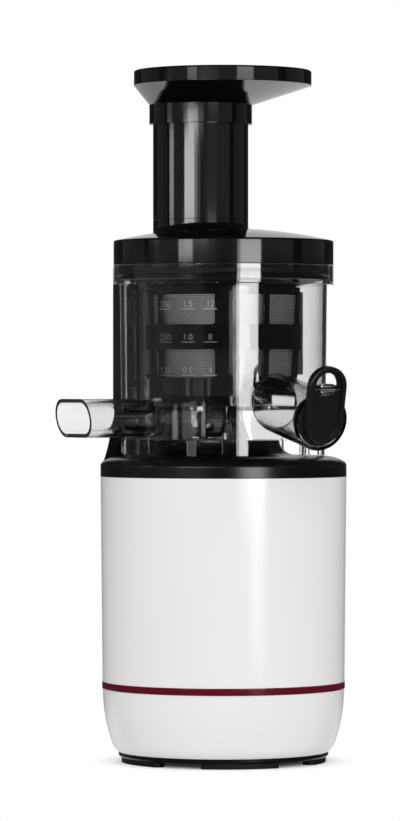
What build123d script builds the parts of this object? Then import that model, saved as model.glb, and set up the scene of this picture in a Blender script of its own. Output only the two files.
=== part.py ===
from build123d import *
import math
import os

# Vertical slow juicer, in millimetres. The origin is on the table, under the machine's axis.
# +Z is up, the juice spout points to -Y, the pulp tube to -X, and the rear column stands at +Y.

# Compass headings seen from above, counted from +X
PULP_SIDE = 180.0
REAR = 90.0

# Fits and clearances
FIT = 0.15
SEAT = 0.02
RUN = 0.05
AIR = 0.3

# Heights of the drive base, stacked up from the table
FOOT_H = 3.2
PLATE_T = 3.0
SKIRT_H = 38.5
TRIM_H = 4.3
SHELL_H = 124.7
BAND_H = 6.6
SHOULDER_H = 6.2
PEDESTAL_H = 9.5

# Radii and walls of the drive base
SHELL_BOTTOM_R = 73.9
SHELL_FLARE = 1.2
SHELL_WALL = 2.5
SKIRT_INSET = 0.2
SKIRT_KNEE_IN = 5.5
SKIRT_KNEE_H = 5.8
PLATE_IN = 9.7
TRIM_PROUD = 0.3
TRIM_EDGE_R = 0.5
DECK_R = 58.0
PEDESTAL_FOOT_R = 46.0
PEDESTAL_TOP_R = 34.0
TONGUE_T = 2.2
TONGUE_RISE = 5.0
SPIGOT_H = 6.0

# Feet, base screws and underside
FOOT_COUNT = 5
FOOT_HEADING = 252.0
FOOT_INSET = 5.5
FOOT_W = 8.0
FOOT_HALF = 23.0
STUD_R = 2.0
STUD_H = 2.0
PLATE_RIM_H = 4.0
PLATE_RIM_T = 1.8
VENT_COUNT = 24
VENT_R = 34.0
VENT_L = 20.0
VENT_W = 2.6
SCREW_R = 1.5
SCREW_HEAD_R = 3.4
SCREW_HEAD_H = 1.8
BASE_SCREW_INSET = 10.0
BASE_SCREW_L = 16.0
POST_R = 4.0
WEB_T = 2.0

# Cord gland and switch on the back
GLAND_Z = 24.0
GLAND_R = 8.5
GLAND_BORE_R = 4.0
GLAND_FLANGE_R = 10.5
GLAND_FLANGE_T = 2.6
GLAND_PROUD = 3.0
SWITCH_Z = 95.0
BEZEL_W = 20.0
BEZEL_H = 31.0
BEZEL_DEPTH = 11.0
BEZEL_PROUD = 1.2
BEZEL_CORNER_R = 2.0
ROCKER_W = 13.0
ROCKER_R = 11.0
ROCKER_PIVOT_DEPTH = 5.2
ROCKER_PIN_R = 1.5
ROCKER_PIN_L = 1.6
ROCKER_DISH = 2.1
ROCKER_PROUD = 1.8

# Filter board on the base plate
BOARD_HEADING = 36.0
BOARD_R = 47.0
BOARD_W = 36.0
BOARD_H = 24.0
BOARD_T = 1.6
BOARD_RAIL_W = 4.0
BOARD_RAIL_H = 14.0
CAPACITOR_R = 6.0
CAPACITOR_H = 11.0
CAPACITOR_PITCH = 15.6

# Motor
MOTOR_R = 34.0
MOTOR_H = 86.0
CAN_WALL = 2.0
CAN_FLOOR_T = 2.5
CAN_VENT_R = 20.4
CAN_VENT_L = 17.0
CAN_VENT_W = 3.9
MOTOR_SHAFT_R = 4.0
MOTOR_BEARING_R = 8.0
MOTOR_BEARING_H = 6.0
BEARING_POCKET_WALL = 2.0
END_CAP_T = 9.0
MAGNET_T = 8.5
MAGNET_HALF = 62.0
MAGNET_H = 48.0
ROTOR_R = 22.0
ROTOR_H = 44.0
ROTOR_SLOTS = 8
ROTOR_SLOT_W = 4.0
ROTOR_SLOT_DEPTH = 9.0
COMMUTATOR_R = 9.0
COMMUTATOR_H = 9.0
COMMUTATOR_GAP = 1.85
BRUSH_W = 5.0
BRUSH_H = 5.0
BRUSH_L = 11.0
BRUSH_BOX_WALL = 2.0
BRUSH_BOX_GAP = 2.0
FAN_R = 27.0
FAN_H = 8.0
FAN_DISC_T = 1.6
FAN_HUB_R = 7.0
FAN_BLADES = 9
FAN_BLADE_T = 1.4
FAN_GAP = 4.0

# Reduction gearbox: two stages that bring the output back onto the motor's axis
STAGE_MODULE = 1.0
PINION_TEETH = 12
WHEEL_TEETH = 52
PRESSURE_ANGLE = 25.0
BACKLASH = 0.12
FLANK_STEPS = 3
TIP_GAIN = 0.9
ROOT_DROP = 1.2
STAGE_ONE_FACE = 10.0
STAGE_TWO_FACE = 12.0
STAGE_GAP = 4.0
CASE_AIR = 2.0
MOTOR_BAY_H = 75.0
CASE_FLOOR_T = 4.0
CASE_H = 42.0
CASE_WALL = 3.0
CASE_SIDE_AIR = 1.1
CASE_COVER_T = 4.0
LEDGE_T = 5.0
LEDGE_W = 8.0
CASE_SCREW_COUNT = 4
CASE_SCREW_INSET = 5.0
CASE_SCREW_L = 14.0
CASE_POST_H = 24.0
CASE_POST_R = 5.0
AXLE_R = 3.0
AXLE_SEAT = 2.0
AXLE_COLLAR_T = 2.0
SHAFT_HOLE_GAP = 1.0

# Drive shaft, its bearings and its seal
SHAFT_R = 6.0
SHAFT_SHOULDER = 4.0
HEX_AF = 10.0
HEX_RISE = 28.5
HEX_GAP = 0.1
HEX_SIDES = 6
HEX_CHAMFER = 1.0
HEX_END_GAP = 1.0
BEARING_R = 11.0
BEARING_H = 7.0
BEARING_WALL = 2.6
SEAL_R = 10.0
SEAL_H = 3.0

# Rear column
COLUMN_GAP = 1.3
COLUMN_DEPTH = 6.8
COLUMN_HALF = 37.0
COLUMN_FLARE = ((0.0, 18.0), (4.0, 11.5), (15.0, 4.5), (35.0, 0.0))
COLUMN_WALL = 1.8
COLUMN_COVER_T = 1.8
COLUMN_COVER_HALF = 30.0
COLUMN_COVER_MARGIN = 4.0
COLUMN_LEDGE = 2.0
SENSOR_HALF = 6.0
SENSOR_H = 8.5

# Bowl
LOCK_COUNT = 5
LOCK_HEADING = 234.0
LOCK_BLOCK_HALF = 6.2
LOCK_BLOCK_H = 8.0
LOCK_BLOCK_W = 6.0
LEG_WIDE_SHIFT = 14.5
LEG_WIDE_HALF = 7.4
LEG_NARROW_SHIFT = -10.0
LEG_NARROW_HALF = 2.6
LEG_H = 9.7
BOWL_SKIRT_H = 17.8
BOWL_FLOOR_T = 2.5
BOWL_DEPTH = 74.0
BOWL_LEDGE_T = 2.5
BOWL_RIM_H = 9.0
BOWL_BOTTOM_R = 62.3
BOWL_TOP_R = 63.3
BOWL_WALL = 2.4
RIM_R = 67.2
RIM_WALL = 2.6
HUB_WALL = 2.2
HUB_DEPTH = 10.5
JOURNAL_R = 8.3
HUB_SEAL_W = 1.2
HUB_SEAL_H = 3.0

# Pulp chute and tube
CHUTE_INNER_R = 12.9
CHUTE_OUTER_R = 24.8
CHUTE_WALL = 1.2
CHUTE_HALF = 46.0
PULP_W = 48.0
PULP_H = 23.2
PULP_WALL = 2.2
PULP_DROP = 7.1
PULP_REACH = 102.0
PULP_SLANT = 8.8
PULP_HUMP_GAP = 1.0

# Juice spout and drip lever
SPOUT_R = 17.6
SPOUT_WALL = 2.2
SPOUT_SLOPE = 11.8
SPOUT_ASIDE = 4.0
SPOUT_REACH = 114.0
SPOUT_DROP = 8.6
LUG_HALF = 4.0
LUG_R = 3.4
LUG_ROOT = 10.0
LUG_SHOULDER = 135.0
LEVER_PIN_R = 1.25
LEVER_PIN_HALF = 9.0
LEVER_PIN_RISE = 2.2
LEVER_PIN_DEPTH = 2.0
LEVER_W = 24.6
LEVER_BELOW = 12.3
LEVER_ABOVE = 33.8
LEVER_BACK = 0.8
LEVER_T = 5.0
LEVER_RIM = 2.8
LEVER_RECESS = 1.8
LEVER_EDGE_R = 0.8
LOOP_R = 7.5
LOOP_RISE = 22.3
PLUG_R = 15.0
PLUG_TIP_R = 12.4
PLUG_DEPTH = 9.0
PLUG_NECK_R = 11.0

# Gears in the bowl: auger gear, idler and the basket's ring gear
BOWL_MODULE = 1.25
AUGER_TEETH = 16
IDLER_TEETH = 14
BOWL_GEAR_FACE = 6.0
BOWL_TIP_GAIN = 0.8
RING_SPACE_GAIN = 1.1
RING_WALL = 2.0
IDLER_PIN_R = 2.5
IDLER_PIN_PROUD = 1.0

# Strainer
STRAINER_PLATE_LIFT = 9.5
STRAINER_PLATE_T = 2.5
STRAINER_FOOT_H = 6.0
STRAINER_FOOT_R = 41.2
STRAINER_HEAD_R = 44.2
STRAINER_HEAD_DROP = 9.0
STRAINER_HEAD_H = 5.2
STRAINER_RING_T = 1.9
STRAINER_FLANGE_T = 2.4
STRAINER_SEAT_W = 3.5
MESH_T = 0.6
RIB_COUNT = 6
RIB_HEADING = 30.0
RIB_T = 1.4
RIB_W = 2.4

# Wiper basket
BASKET_GAP = 0.6
BASKET_FOOT_R = 45.2
BASKET_HEAD_R = 46.9
BASKET_WEB_T = 2.0
BASKET_RING_TOP = 17.2
BASKET_BAND_Z = 34.2
BASKET_BAND_H = 15.0
BASKET_HEAD_Z = 69.4
BASKET_HEAD_H = 2.6
BASKET_BAND_PROUD = 1.7
BASKET_SETS = 4
BASKET_HEADING = 247.0
BASKET_POST = 22.8
BASKET_NARROW = 15.3
BASKET_MULLION = 4.6
BASKET_CORNER_R = 1.8
WIPER_T = 1.6
WIPER_PROUD = 2.0

# Auger
AUGER_GAP = 0.8
AUGER_NECK_R = 10.8
AUGER_BELLY_R = 17.0
AUGER_SHOULDER_R = 15.0
AUGER_TIP_R = 6.0
FLIGHT_COUNT = 3
FLIGHT_T = 3.6
FLIGHT_TWIST = 250.0
FLIGHT_TOP = 5.0
FLIGHT_TOP_INSET = 10.0
PIN_R = 3.0
PIN_L = 10.0
INSERT_R = 7.0

# Lid and feed tube
LID_SKIRT_H = 15.0
LID_RISE = 7.7
LID_WALL = 2.5
SPIGOT_GAP = 0.4
SPIGOT_T = 2.4
SPIGOT_DROP = 6.3
LID_SEAL_H = 2.4
LID_SEAL_T = 1.0
TUBE_OFFSET = 30.0
TUBE_R = 29.4
TUBE_WALL = 2.5
TUBE_RISE = 75.0
TUBE_SKIRT = 8.0
TUBE_STUB = 6.0
TUBE_ROOT_R = 4.0
BUSH_WALL = 1.6
LID_HUB_WALL = 2.0
TONGUE_HALF = 7.0
TONGUE_H = 8.0
MAGNET_R = 2.6
MAGNET_DEPTH = 3.2
LID_EDGE_R = 1.2

# Feed tray
TRAY_R = 54.3
TRAY_WALL = 2.5
TRAY_OFFSET = 1.0
TRAY_COLLAR_H = 12.1
TRAY_COLLAR_WALL = 2.0
TRAY_LIP_T = 1.6
TRAY_FLARE_H = 10.2
TRAY_RIM_H = 9.0
TRAY_EDGE_R = 1.0

# Levels worked out from the stack
Z_SKIRT = FOOT_H + PLATE_T
Z_TRIM = Z_SKIRT + SKIRT_H
Z_SHELL = Z_TRIM + TRIM_H
Z_BAND = Z_SHELL + SHELL_H
Z_SHOULDER = Z_BAND + BAND_H
Z_DECK = Z_SHOULDER + SHOULDER_H
Z_PEDESTAL = Z_DECK + PEDESTAL_H
Z_CASE = Z_SHELL + MOTOR_BAY_H
Z_CASE_FLOOR = Z_CASE + CASE_FLOOR_T
Z_STAGE_ONE = Z_CASE_FLOOR + CASE_AIR
Z_STAGE_TWO = Z_STAGE_ONE + STAGE_ONE_FACE + STAGE_GAP
Z_CASE_TOP = Z_CASE + CASE_H
Z_COVER_TOP = Z_CASE_TOP + CASE_COVER_T
Z_MOTOR = Z_CASE - MOTOR_H
Z_FAN = Z_MOTOR - FAN_GAP - FAN_H
Z_END_CAP = Z_CASE - END_CAP_T
Z_COMMUTATOR = Z_END_CAP - COMMUTATOR_GAP - COMMUTATOR_H
Z_ROTOR = Z_COMMUTATOR - FIT - ROTOR_H
Z_BOWL = Z_DECK + LEG_H
Z_FLOOR_UNDER = Z_BOWL + BOWL_SKIRT_H
Z_FLOOR = Z_FLOOR_UNDER + BOWL_FLOOR_T
Z_LEDGE = Z_FLOOR + BOWL_DEPTH
Z_RIM = Z_LEDGE + BOWL_LEDGE_T
Z_RIM_TOP = Z_RIM + BOWL_RIM_H
Z_GEARS = Z_FLOOR + AIR
Z_GEARS_TOP = Z_GEARS + BOWL_GEAR_FACE
Z_STRAINER = Z_FLOOR + STRAINER_PLATE_LIFT
Z_MESH = Z_STRAINER + STRAINER_FOOT_H
Z_MESH_TOP = Z_RIM - STRAINER_HEAD_DROP
Z_HEX_TOP = Z_FLOOR + HEX_RISE
Z_LID = Z_RIM_TOP + AIR
Z_LID_SHOULDER = Z_LID + LID_SKIRT_H
Z_LID_TOP = Z_LID_SHOULDER + LID_RISE
Z_TUBE_TOP = Z_LID_TOP + TUBE_RISE
Z_TRAY_LIP = Z_TUBE_TOP + AIR
Z_TRAY_FLARE = Z_TRAY_LIP + TRAY_LIP_T
Z_TRAY_RIM = Z_TRAY_FLARE + TRAY_FLARE_H
Z_TRAY_TOP = Z_TRAY_RIM + TRAY_RIM_H

# Radii worked out from the fits
SHELL_TOP_R = SHELL_BOTTOM_R + SHELL_FLARE
SKIRT_TOP_R = SHELL_BOTTOM_R - SKIRT_INSET
SKIRT_KNEE_R = SKIRT_TOP_R - SKIRT_KNEE_IN
PLATE_R = SKIRT_TOP_R - PLATE_IN
TRIM_R = SHELL_BOTTOM_R + TRIM_PROUD
FOOT_R = PLATE_R - FOOT_INSET
BASE_SCREW_CIRCLE = PLATE_R - BASE_SCREW_INSET
TONGUE_R = SHELL_BOTTOM_R - SHELL_WALL - FIT
STAGE_CENTRE = STAGE_MODULE * (PINION_TEETH + WHEEL_TEETH) / 2
WHEEL_TIP_R = STAGE_MODULE * (WHEEL_TEETH / 2 + TIP_GAIN)
CASE_INNER_R = STAGE_CENTRE + WHEEL_TIP_R + CASE_SIDE_AIR
IDLER_CENTRE = BOWL_MODULE * (AUGER_TEETH + IDLER_TEETH) / 2
RING_TEETH = AUGER_TEETH + 2 * IDLER_TEETH
RING_ROOT_R = BOWL_MODULE * (RING_TEETH / 2 + RING_SPACE_GAIN)
RIM_INNER_R = RIM_R - RIM_WALL
COLUMN_R = RIM_R + COLUMN_GAP
COLUMN_OUTER_R = COLUMN_R + COLUMN_DEPTH
HUB_R = JOURNAL_R + RUN + HUB_WALL
TUBE_BORE_R = TUBE_R - TUBE_WALL
SPIGOT_R = RIM_INNER_R - SPIGOT_GAP

UPWARD = (Align.CENTER, Align.CENTER, Align.MIN)


def polar(radius, heading):
    angle = math.radians(heading)
    return radius * math.cos(angle), radius * math.sin(angle)


def disc(radius, z0, z1):
    return Pos(0, 0, z0) * Cylinder(radius, z1 - z0, align=UPWARD)


def ring(outer, inner, z0, z1):
    return Pos(0, 0, z0) * extrude(Circle(outer) - Circle(inner), z1 - z0)


def block(x0, x1, y0, y1, z0, z1):
    centre = Pos((x0 + x1) / 2, (y0 + y1) / 2, (z0 + z1) / 2)
    return centre * Box(x1 - x0, y1 - y0, z1 - z0)


def turned(edges):
    """Body of revolution from edges drawn as (radius, height)."""
    return revolve(Plane.XZ * make_face(edges), Axis.Z)


def turned_points(*points):
    return turned(Polyline(*points, close=True))


def upright(points, width, heading):
    """Flat plate from a (radius, height) outline, standing along a compass heading."""
    plate = extrude(Plane.XZ * make_face(Polyline(*points, close=True)), width / 2, both=True)
    return Rot(0, 0, heading) * plate


def sector_face(outer, inner, heading, half):
    first = heading - half
    last = heading + half
    edges = [
        CenterArc((0, 0), outer, first, 2 * half),
        Line(polar(outer, last), polar(inner, last)),
        CenterArc((0, 0), inner, last, -2 * half),
        Line(polar(inner, first), polar(outer, first)),
    ]
    return make_face(edges)


def sector(outer, inner, z0, z1, heading, half):
    return Pos(0, 0, z0) * extrude(sector_face(outer, inner, heading, half), z1 - z0)


def around(shape, count, first):
    """Copies of a shape made on +X, spread evenly round the axis from a first heading."""
    return [Rot(0, 0, first + 360 * index / count) * shape for index in range(count)]


def gear_face(module, teeth, thinning, tip_gain, root_drop, phase):
    """Involute gear outline, each flank thinned by a backlash. A tooth is centred on the phase."""
    pressure = math.radians(PRESSURE_ANGLE)
    pitch_r = module * teeth / 2
    base_r = pitch_r * math.cos(pressure)
    tip_r = pitch_r + tip_gain * module
    root_r = pitch_r - root_drop * module
    start_r = max(base_r, root_r)
    half_pitch = math.pi / (2 * teeth) - thinning / pitch_r + math.tan(pressure) - pressure
    flank = []
    for step in range(FLANK_STEPS + 1):
        radius = start_r + (tip_r - start_r) * step / FLANK_STEPS
        roll = math.acos(min(1.0, base_r / radius))
        flank.append((radius, math.degrees(half_pitch - math.tan(roll) + roll)))
    if root_r < start_r:
        flank.insert(0, (root_r, flank[0][1]))
    points = []
    for tooth in range(teeth):
        middle = phase + 360 * tooth / teeth
        points += [polar(radius, middle - half) for radius, half in flank]
        points += [polar(radius, middle + half) for radius, half in reversed(flank)]
    return make_face(Polyline(*points, close=True))


def stage_gear(teeth, z0, z1, phase):
    face = gear_face(STAGE_MODULE, teeth, BACKLASH, TIP_GAIN, ROOT_DROP, phase)
    return Pos(0, 0, z0) * extrude(face, z1 - z0)


def bowl_gear(teeth, phase):
    face = gear_face(BOWL_MODULE, teeth, BACKLASH, BOWL_TIP_GAIN, ROOT_DROP, phase)
    return Pos(0, 0, Z_GEARS) * extrude(face, BOWL_GEAR_FACE)


def shell_radius(z):
    share = (z - Z_SHELL) / SHELL_H
    return SHELL_BOTTOM_R + (SHELL_TOP_R - SHELL_BOTTOM_R) * share


def bowl_radius(z):
    share = (z - Z_BOWL) / (Z_LEDGE - Z_BOWL)
    return BOWL_BOTTOM_R + (BOWL_TOP_R - BOWL_BOTTOM_R) * share


def mesh_radius(z):
    share = (z - Z_MESH) / (Z_MESH_TOP - Z_MESH)
    return STRAINER_FOOT_R + (STRAINER_HEAD_R - STRAINER_FOOT_R) * share


def bowl_cone(inset, z0, z1):
    return turned_points((0, z0), (bowl_radius(z0) - inset, z0), (bowl_radius(z1) - inset, z1), (0, z1))


def rear_plane(y, z):
    """Sketch plane on the back of the machine, with its normal along +Y."""
    return Plane(origin=(0, y, z), x_dir=(1, 0, 0), z_dir=(0, 1, 0))


# Drive base, outside

def make_feet():
    inner = FOOT_R - FOOT_W / 2
    pad = sector(FOOT_R + FOOT_W / 2, inner, 0, FOOT_H, 0, FOOT_HALF)
    pad = fillet(pad.edges().filter_by(Axis.Z), FOOT_W / 3)
    pad += Pos(FOOT_R, 0, FOOT_H) * Cylinder(STUD_R, STUD_H, align=UPWARD)
    return around(pad, FOOT_COUNT, FOOT_HEADING)


def make_base_plate():
    plate = disc(PLATE_R, FOOT_H, Z_SKIRT)
    plate = chamfer(plate.edges().sort_by(Axis.Z)[0], PLATE_T / 3)
    rim_r = PLATE_R - SHELL_WALL - FIT
    plate += ring(rim_r, rim_r - PLATE_RIM_T, Z_SKIRT, Z_SKIRT + PLATE_RIM_H)
    slot = Pos(VENT_R, 0, FOOT_H) * extrude(SlotOverall(VENT_L, VENT_W), PLATE_T)
    plate -= around(slot, VENT_COUNT, 0)
    hole = Pos(BASE_SCREW_CIRCLE, 0, FOOT_H) * Cylinder(SCREW_R + FIT, PLATE_T, align=UPWARD)
    hole += Pos(BASE_SCREW_CIRCLE, 0, FOOT_H) * Cylinder(SCREW_HEAD_R + FIT, SCREW_HEAD_H, align=UPWARD)
    plate -= around(hole, FOOT_COUNT, FOOT_HEADING + 180 / FOOT_COUNT)
    stud = Pos(FOOT_R, 0, FOOT_H) * Cylinder(STUD_R + FIT, STUD_H + FIT, align=UPWARD)
    plate -= around(stud, FOOT_COUNT, FOOT_HEADING)
    rails = Part()
    for side in (-1, 1):
        y = side * BOARD_W / 2
        x0 = BOARD_R - BOARD_RAIL_W
        x1 = BOARD_R + BOARD_RAIL_W
        rails += block(x0, x1, y - BOARD_RAIL_W / 2, y + BOARD_RAIL_W / 2, Z_SKIRT, Z_SKIRT + BOARD_RAIL_H)
    rails -= board_sheet(FIT)
    return plate + Rot(0, 0, BOARD_HEADING) * rails


def board_sheet(gap):
    half = BOARD_W / 2 + gap
    face = BOARD_T / 2 + gap
    return block(BOARD_R - face, BOARD_R + face, -half, half, Z_SKIRT, Z_SKIRT + BOARD_H)


def make_filter_board():
    board = board_sheet(0)
    can = Cylinder(CAPACITOR_R, CAPACITOR_H, rotation=(0, -90, 0), align=UPWARD)
    height = Z_SKIRT + BOARD_H - CAPACITOR_R
    for side in (-1, 1):
        board += Pos(BOARD_R, side * CAPACITOR_PITCH / 2, height) * can
    return Rot(0, 0, BOARD_HEADING) * board


def make_base_screws():
    head = Pos(BASE_SCREW_CIRCLE, 0, FOOT_H) * Cylinder(SCREW_HEAD_R, SCREW_HEAD_H, align=UPWARD)
    screw = head + Pos(BASE_SCREW_CIRCLE, 0, FOOT_H) * Cylinder(SCREW_R, BASE_SCREW_L, align=UPWARD)
    return around(screw, FOOT_COUNT, FOOT_HEADING + 180 / FOOT_COUNT)


def skirt_solid(inset):
    """Rounded foot of the housing: a long gentle arc, then a tighter turn in to the base plate."""
    top = (SKIRT_TOP_R - inset, Z_TRIM)
    knee = (SKIRT_KNEE_R - inset, Z_SKIRT + SKIRT_KNEE_H)
    foot = (PLATE_R - inset, Z_SKIRT)
    side = TangentArc(top, knee, tangent=(0, -1))
    turn = TangentArc(knee, foot, tangent=side % 1)
    rest = Polyline(foot, (0, Z_SKIRT), (0, Z_TRIM), top)
    return turned([side, turn, rest])


def make_lower_housing():
    outside = skirt_solid(0)
    shell = outside - skirt_solid(SHELL_WALL)
    inner = TONGUE_R - TONGUE_T
    shell += ring(SKIRT_TOP_R - SHELL_WALL / 2, inner, Z_TRIM - TONGUE_RISE, Z_TRIM)
    shell += ring(TONGUE_R, inner, Z_TRIM - TONGUE_RISE, Z_SHELL + TONGUE_RISE)
    z_post = Z_SKIRT + BASE_SCREW_L
    post = Pos(BASE_SCREW_CIRCLE, 0, Z_SKIRT) * Cylinder(POST_R, BASE_SCREW_L, align=UPWARD)
    z_web = Z_SKIRT + PLATE_RIM_H + FIT
    post += block(BASE_SCREW_CIRCLE, SKIRT_TOP_R, -WEB_T / 2, WEB_T / 2, z_web, z_post) & outside
    post -= Pos(BASE_SCREW_CIRCLE, 0, Z_SKIRT) * Cylinder(SCREW_R + SEAT, BASE_SCREW_L - FIT, align=UPWARD)
    shell += around(post, FOOT_COUNT, FOOT_HEADING + 180 / FOOT_COUNT)
    hole = extrude(rear_plane(0, GLAND_Z) * Circle(GLAND_R + FIT), 2 * SKIRT_TOP_R)
    return shell - hole


def make_cord_gland():
    """Bush for the mains lead: its inner flange lies behind the wall, its collar shows outside."""
    outer_y = SKIRT_TOP_R + GLAND_PROUD
    inner_y = PLATE_R - SHELL_WALL - GLAND_FLANGE_T
    gland = extrude(rear_plane(inner_y, GLAND_Z) * Circle(GLAND_R), outer_y - inner_y)
    gland = fillet(gland.edges().sort_by(Axis.Y)[-1], GLAND_PROUD / 2)
    gland += extrude(rear_plane(inner_y, GLAND_Z) * Circle(GLAND_FLANGE_R), GLAND_FLANGE_T)
    return gland - extrude(rear_plane(0, GLAND_Z) * Circle(GLAND_BORE_R), 2 * SKIRT_TOP_R)


def make_trim_ring():
    band = ring(TRIM_R, TONGUE_R + FIT, Z_TRIM, Z_SHELL)
    return fillet(band.edges().filter_by(GeomType.CIRCLE).group_by(SortBy.RADIUS)[-1], TRIM_EDGE_R)


def make_main_housing():
    inner_low = SHELL_BOTTOM_R - SHELL_WALL
    inner_high = SHELL_TOP_R - SHELL_WALL
    shell = turned_points(
        (inner_low, Z_SHELL), (SHELL_BOTTOM_R, Z_SHELL), (SHELL_TOP_R, Z_BAND), (inner_high, Z_BAND)
    )
    wall_r = shell_radius(Z_CASE) - SHELL_WALL
    shell += ring(wall_r + SHELL_WALL / 2, wall_r - LEDGE_W, Z_CASE - LEDGE_T, Z_CASE)
    screw_r = wall_r - CASE_SCREW_INSET
    post = Pos(screw_r, 0, Z_CASE - CASE_POST_H) * Cylinder(CASE_POST_R, CASE_POST_H, align=UPWARD)
    shell += around(post, CASE_SCREW_COUNT, 180 / CASE_SCREW_COUNT)
    bore = Pos(screw_r, 0, Z_CASE - CASE_SCREW_L) * Cylinder(SCREW_R + SEAT, CASE_SCREW_L, align=UPWARD)
    shell -= around(bore, CASE_SCREW_COUNT, 180 / CASE_SCREW_COUNT)
    half = BEZEL_W / 2 + FIT
    tall = BEZEL_H / 2 + FIT
    return shell - block(-half, half, 0, 2 * SHELL_TOP_R, SWITCH_Z - tall, SWITCH_Z + tall)


def bezel_front():
    return shell_radius(SWITCH_Z) + BEZEL_PROUD


def make_switch_bezel():
    front = bezel_front()
    frame = RectangleRounded(BEZEL_W, BEZEL_H, BEZEL_CORNER_R)
    frame -= Rectangle(ROCKER_W + 2 * AIR, 2 * (ROCKER_R + AIR))
    bezel = extrude(rear_plane(front - BEZEL_DEPTH, SWITCH_Z) * frame, BEZEL_DEPTH)
    pivot = Pos(0, front - ROCKER_PIVOT_DEPTH, SWITCH_Z)
    pin = Cylinder(ROCKER_PIN_R + RUN, ROCKER_W + 2 * ROCKER_PIN_L + 2 * AIR, rotation=(0, 90, 0))
    return bezel - pivot * pin


def make_rocker_switch():
    """Three-position rocker: a drum on its pivot with a dished front."""
    front = bezel_front()
    pivot_y = front - ROCKER_PIVOT_DEPTH
    pivot = Pos(0, pivot_y, SWITCH_Z)
    drum = pivot * Cylinder(ROCKER_R, ROCKER_W, rotation=(0, 90, 0))
    back = front - BEZEL_DEPTH
    ends = front + ROCKER_PROUD
    outline = Polyline(
        (back, SWITCH_Z - ROCKER_R), (ends, SWITCH_Z - ROCKER_R), (ends - ROCKER_DISH, SWITCH_Z),
        (ends, SWITCH_Z + ROCKER_R), (back, SWITCH_Z + ROCKER_R), close=True
    )
    drum &= extrude(Plane.YZ * make_face(outline), ROCKER_W, both=True)
    return drum + pivot * Cylinder(ROCKER_PIN_R, ROCKER_W + 2 * ROCKER_PIN_L, rotation=(0, 90, 0))


def cover_solid(inset):
    """Band, rounded shoulder, flat deck and waisted pedestal of the top cover, as one solid."""
    band_r = SHELL_TOP_R - inset
    foot_r = PEDESTAL_FOOT_R - inset
    top_r = PEDESTAL_TOP_R - inset
    deck = Z_DECK - inset
    top = Z_PEDESTAL - inset
    edge = (DECK_R, Z_SHOULDER)
    shoulder = EllipticalCenterArc(edge, band_r - DECK_R, SHOULDER_H - inset, 0, arc_size=90)
    waist = EllipticalCenterArc((foot_r, top), foot_r - top_r, PEDESTAL_H, 180, arc_size=90)
    return turned([
        Line((band_r, Z_BAND), (band_r, Z_SHOULDER)),
        shoulder,
        Line((DECK_R, deck), (foot_r, deck)),
        waist,
        Polyline((top_r, top), (0, top), (0, Z_BAND), (band_r, Z_BAND)),
    ])


def make_top_cover():
    cover = cover_solid(0) - cover_solid(SHELL_WALL)
    outer = SHELL_TOP_R - SHELL_WALL - 2 * FIT
    cover += ring(SHELL_TOP_R - SHELL_WALL / 2, outer - TONGUE_T, Z_BAND, Z_BAND + SPIGOT_H / 2)
    cover += ring(outer, outer - TONGUE_T, Z_BAND - SPIGOT_H, Z_BAND + SPIGOT_H / 2)
    z_seal = Z_PEDESTAL - SEAL_H
    cover += disc(BEARING_R + BEARING_WALL, z_seal - BEARING_H, Z_PEDESTAL)
    cover -= disc(BEARING_R + SEAT, z_seal - BEARING_H, z_seal)
    cover -= disc(SEAL_R + SEAT, z_seal, Z_PEDESTAL)
    leg_r = BOWL_BOTTOM_R
    root = Z_DECK - SHELL_WALL / 2
    lock = sector(leg_r, leg_r - LOCK_BLOCK_W, root, Z_DECK + LOCK_BLOCK_H, 0, LOCK_BLOCK_HALF)
    return cover + around(lock, LOCK_COUNT, LOCK_HEADING)


def column_solid():
    """Column with a foot that flares out along the shoulder of the top cover."""
    sections = []
    for rise, spread in COLUMN_FLARE:
        outer = COLUMN_OUTER_R + COLUMN_DEPTH
        face = sector_face(outer, COLUMN_R - COLUMN_DEPTH, REAR, COLUMN_HALF + spread)
        sections.append(Pos(0, 0, Z_SHOULDER + rise) * face)
    flare_top = Z_SHOULDER + COLUMN_FLARE[-1][0]
    foot = loft(sections) & ring(COLUMN_OUTER_R, COLUMN_R, Z_SHOULDER, flare_top)
    return foot + sector(COLUMN_OUTER_R, COLUMN_R, flare_top, Z_RIM_TOP, REAR, COLUMN_HALF)


def make_rear_column():
    column = column_solid() - cover_solid(-SEAT)
    z0 = Z_DECK + COLUMN_COVER_MARGIN
    z1 = Z_RIM_TOP - COLUMN_COVER_MARGIN
    skin = COLUMN_OUTER_R - COLUMN_COVER_T
    column -= sector(COLUMN_OUTER_R + AIR, skin, z0, z1, REAR, COLUMN_COVER_HALF)
    half = COLUMN_COVER_HALF - COLUMN_LEDGE
    inner = COLUMN_R + COLUMN_WALL
    return column - sector(COLUMN_OUTER_R, inner, z0 + COLUMN_LEDGE, z1 - COLUMN_LEDGE, REAR, half)


def make_column_cover():
    z0 = Z_DECK + COLUMN_COVER_MARGIN + FIT
    z1 = Z_RIM_TOP - COLUMN_COVER_MARGIN - FIT
    half = COLUMN_COVER_HALF - math.degrees(FIT / COLUMN_OUTER_R)
    return sector(COLUMN_OUTER_R, COLUMN_OUTER_R - COLUMN_COVER_T + SEAT, z0, z1, REAR, half)


def make_interlock_sensor():
    """Sealed reed sensor under the top of the column, read by the magnet in the lid."""
    top = Z_RIM_TOP - COLUMN_COVER_MARGIN - COLUMN_LEDGE
    skin = COLUMN_OUTER_R - COLUMN_COVER_T
    return sector(skin - FIT, COLUMN_R + COLUMN_WALL + FIT, top - SENSOR_H, top, REAR, SENSOR_HALF)


# Motor

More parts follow.
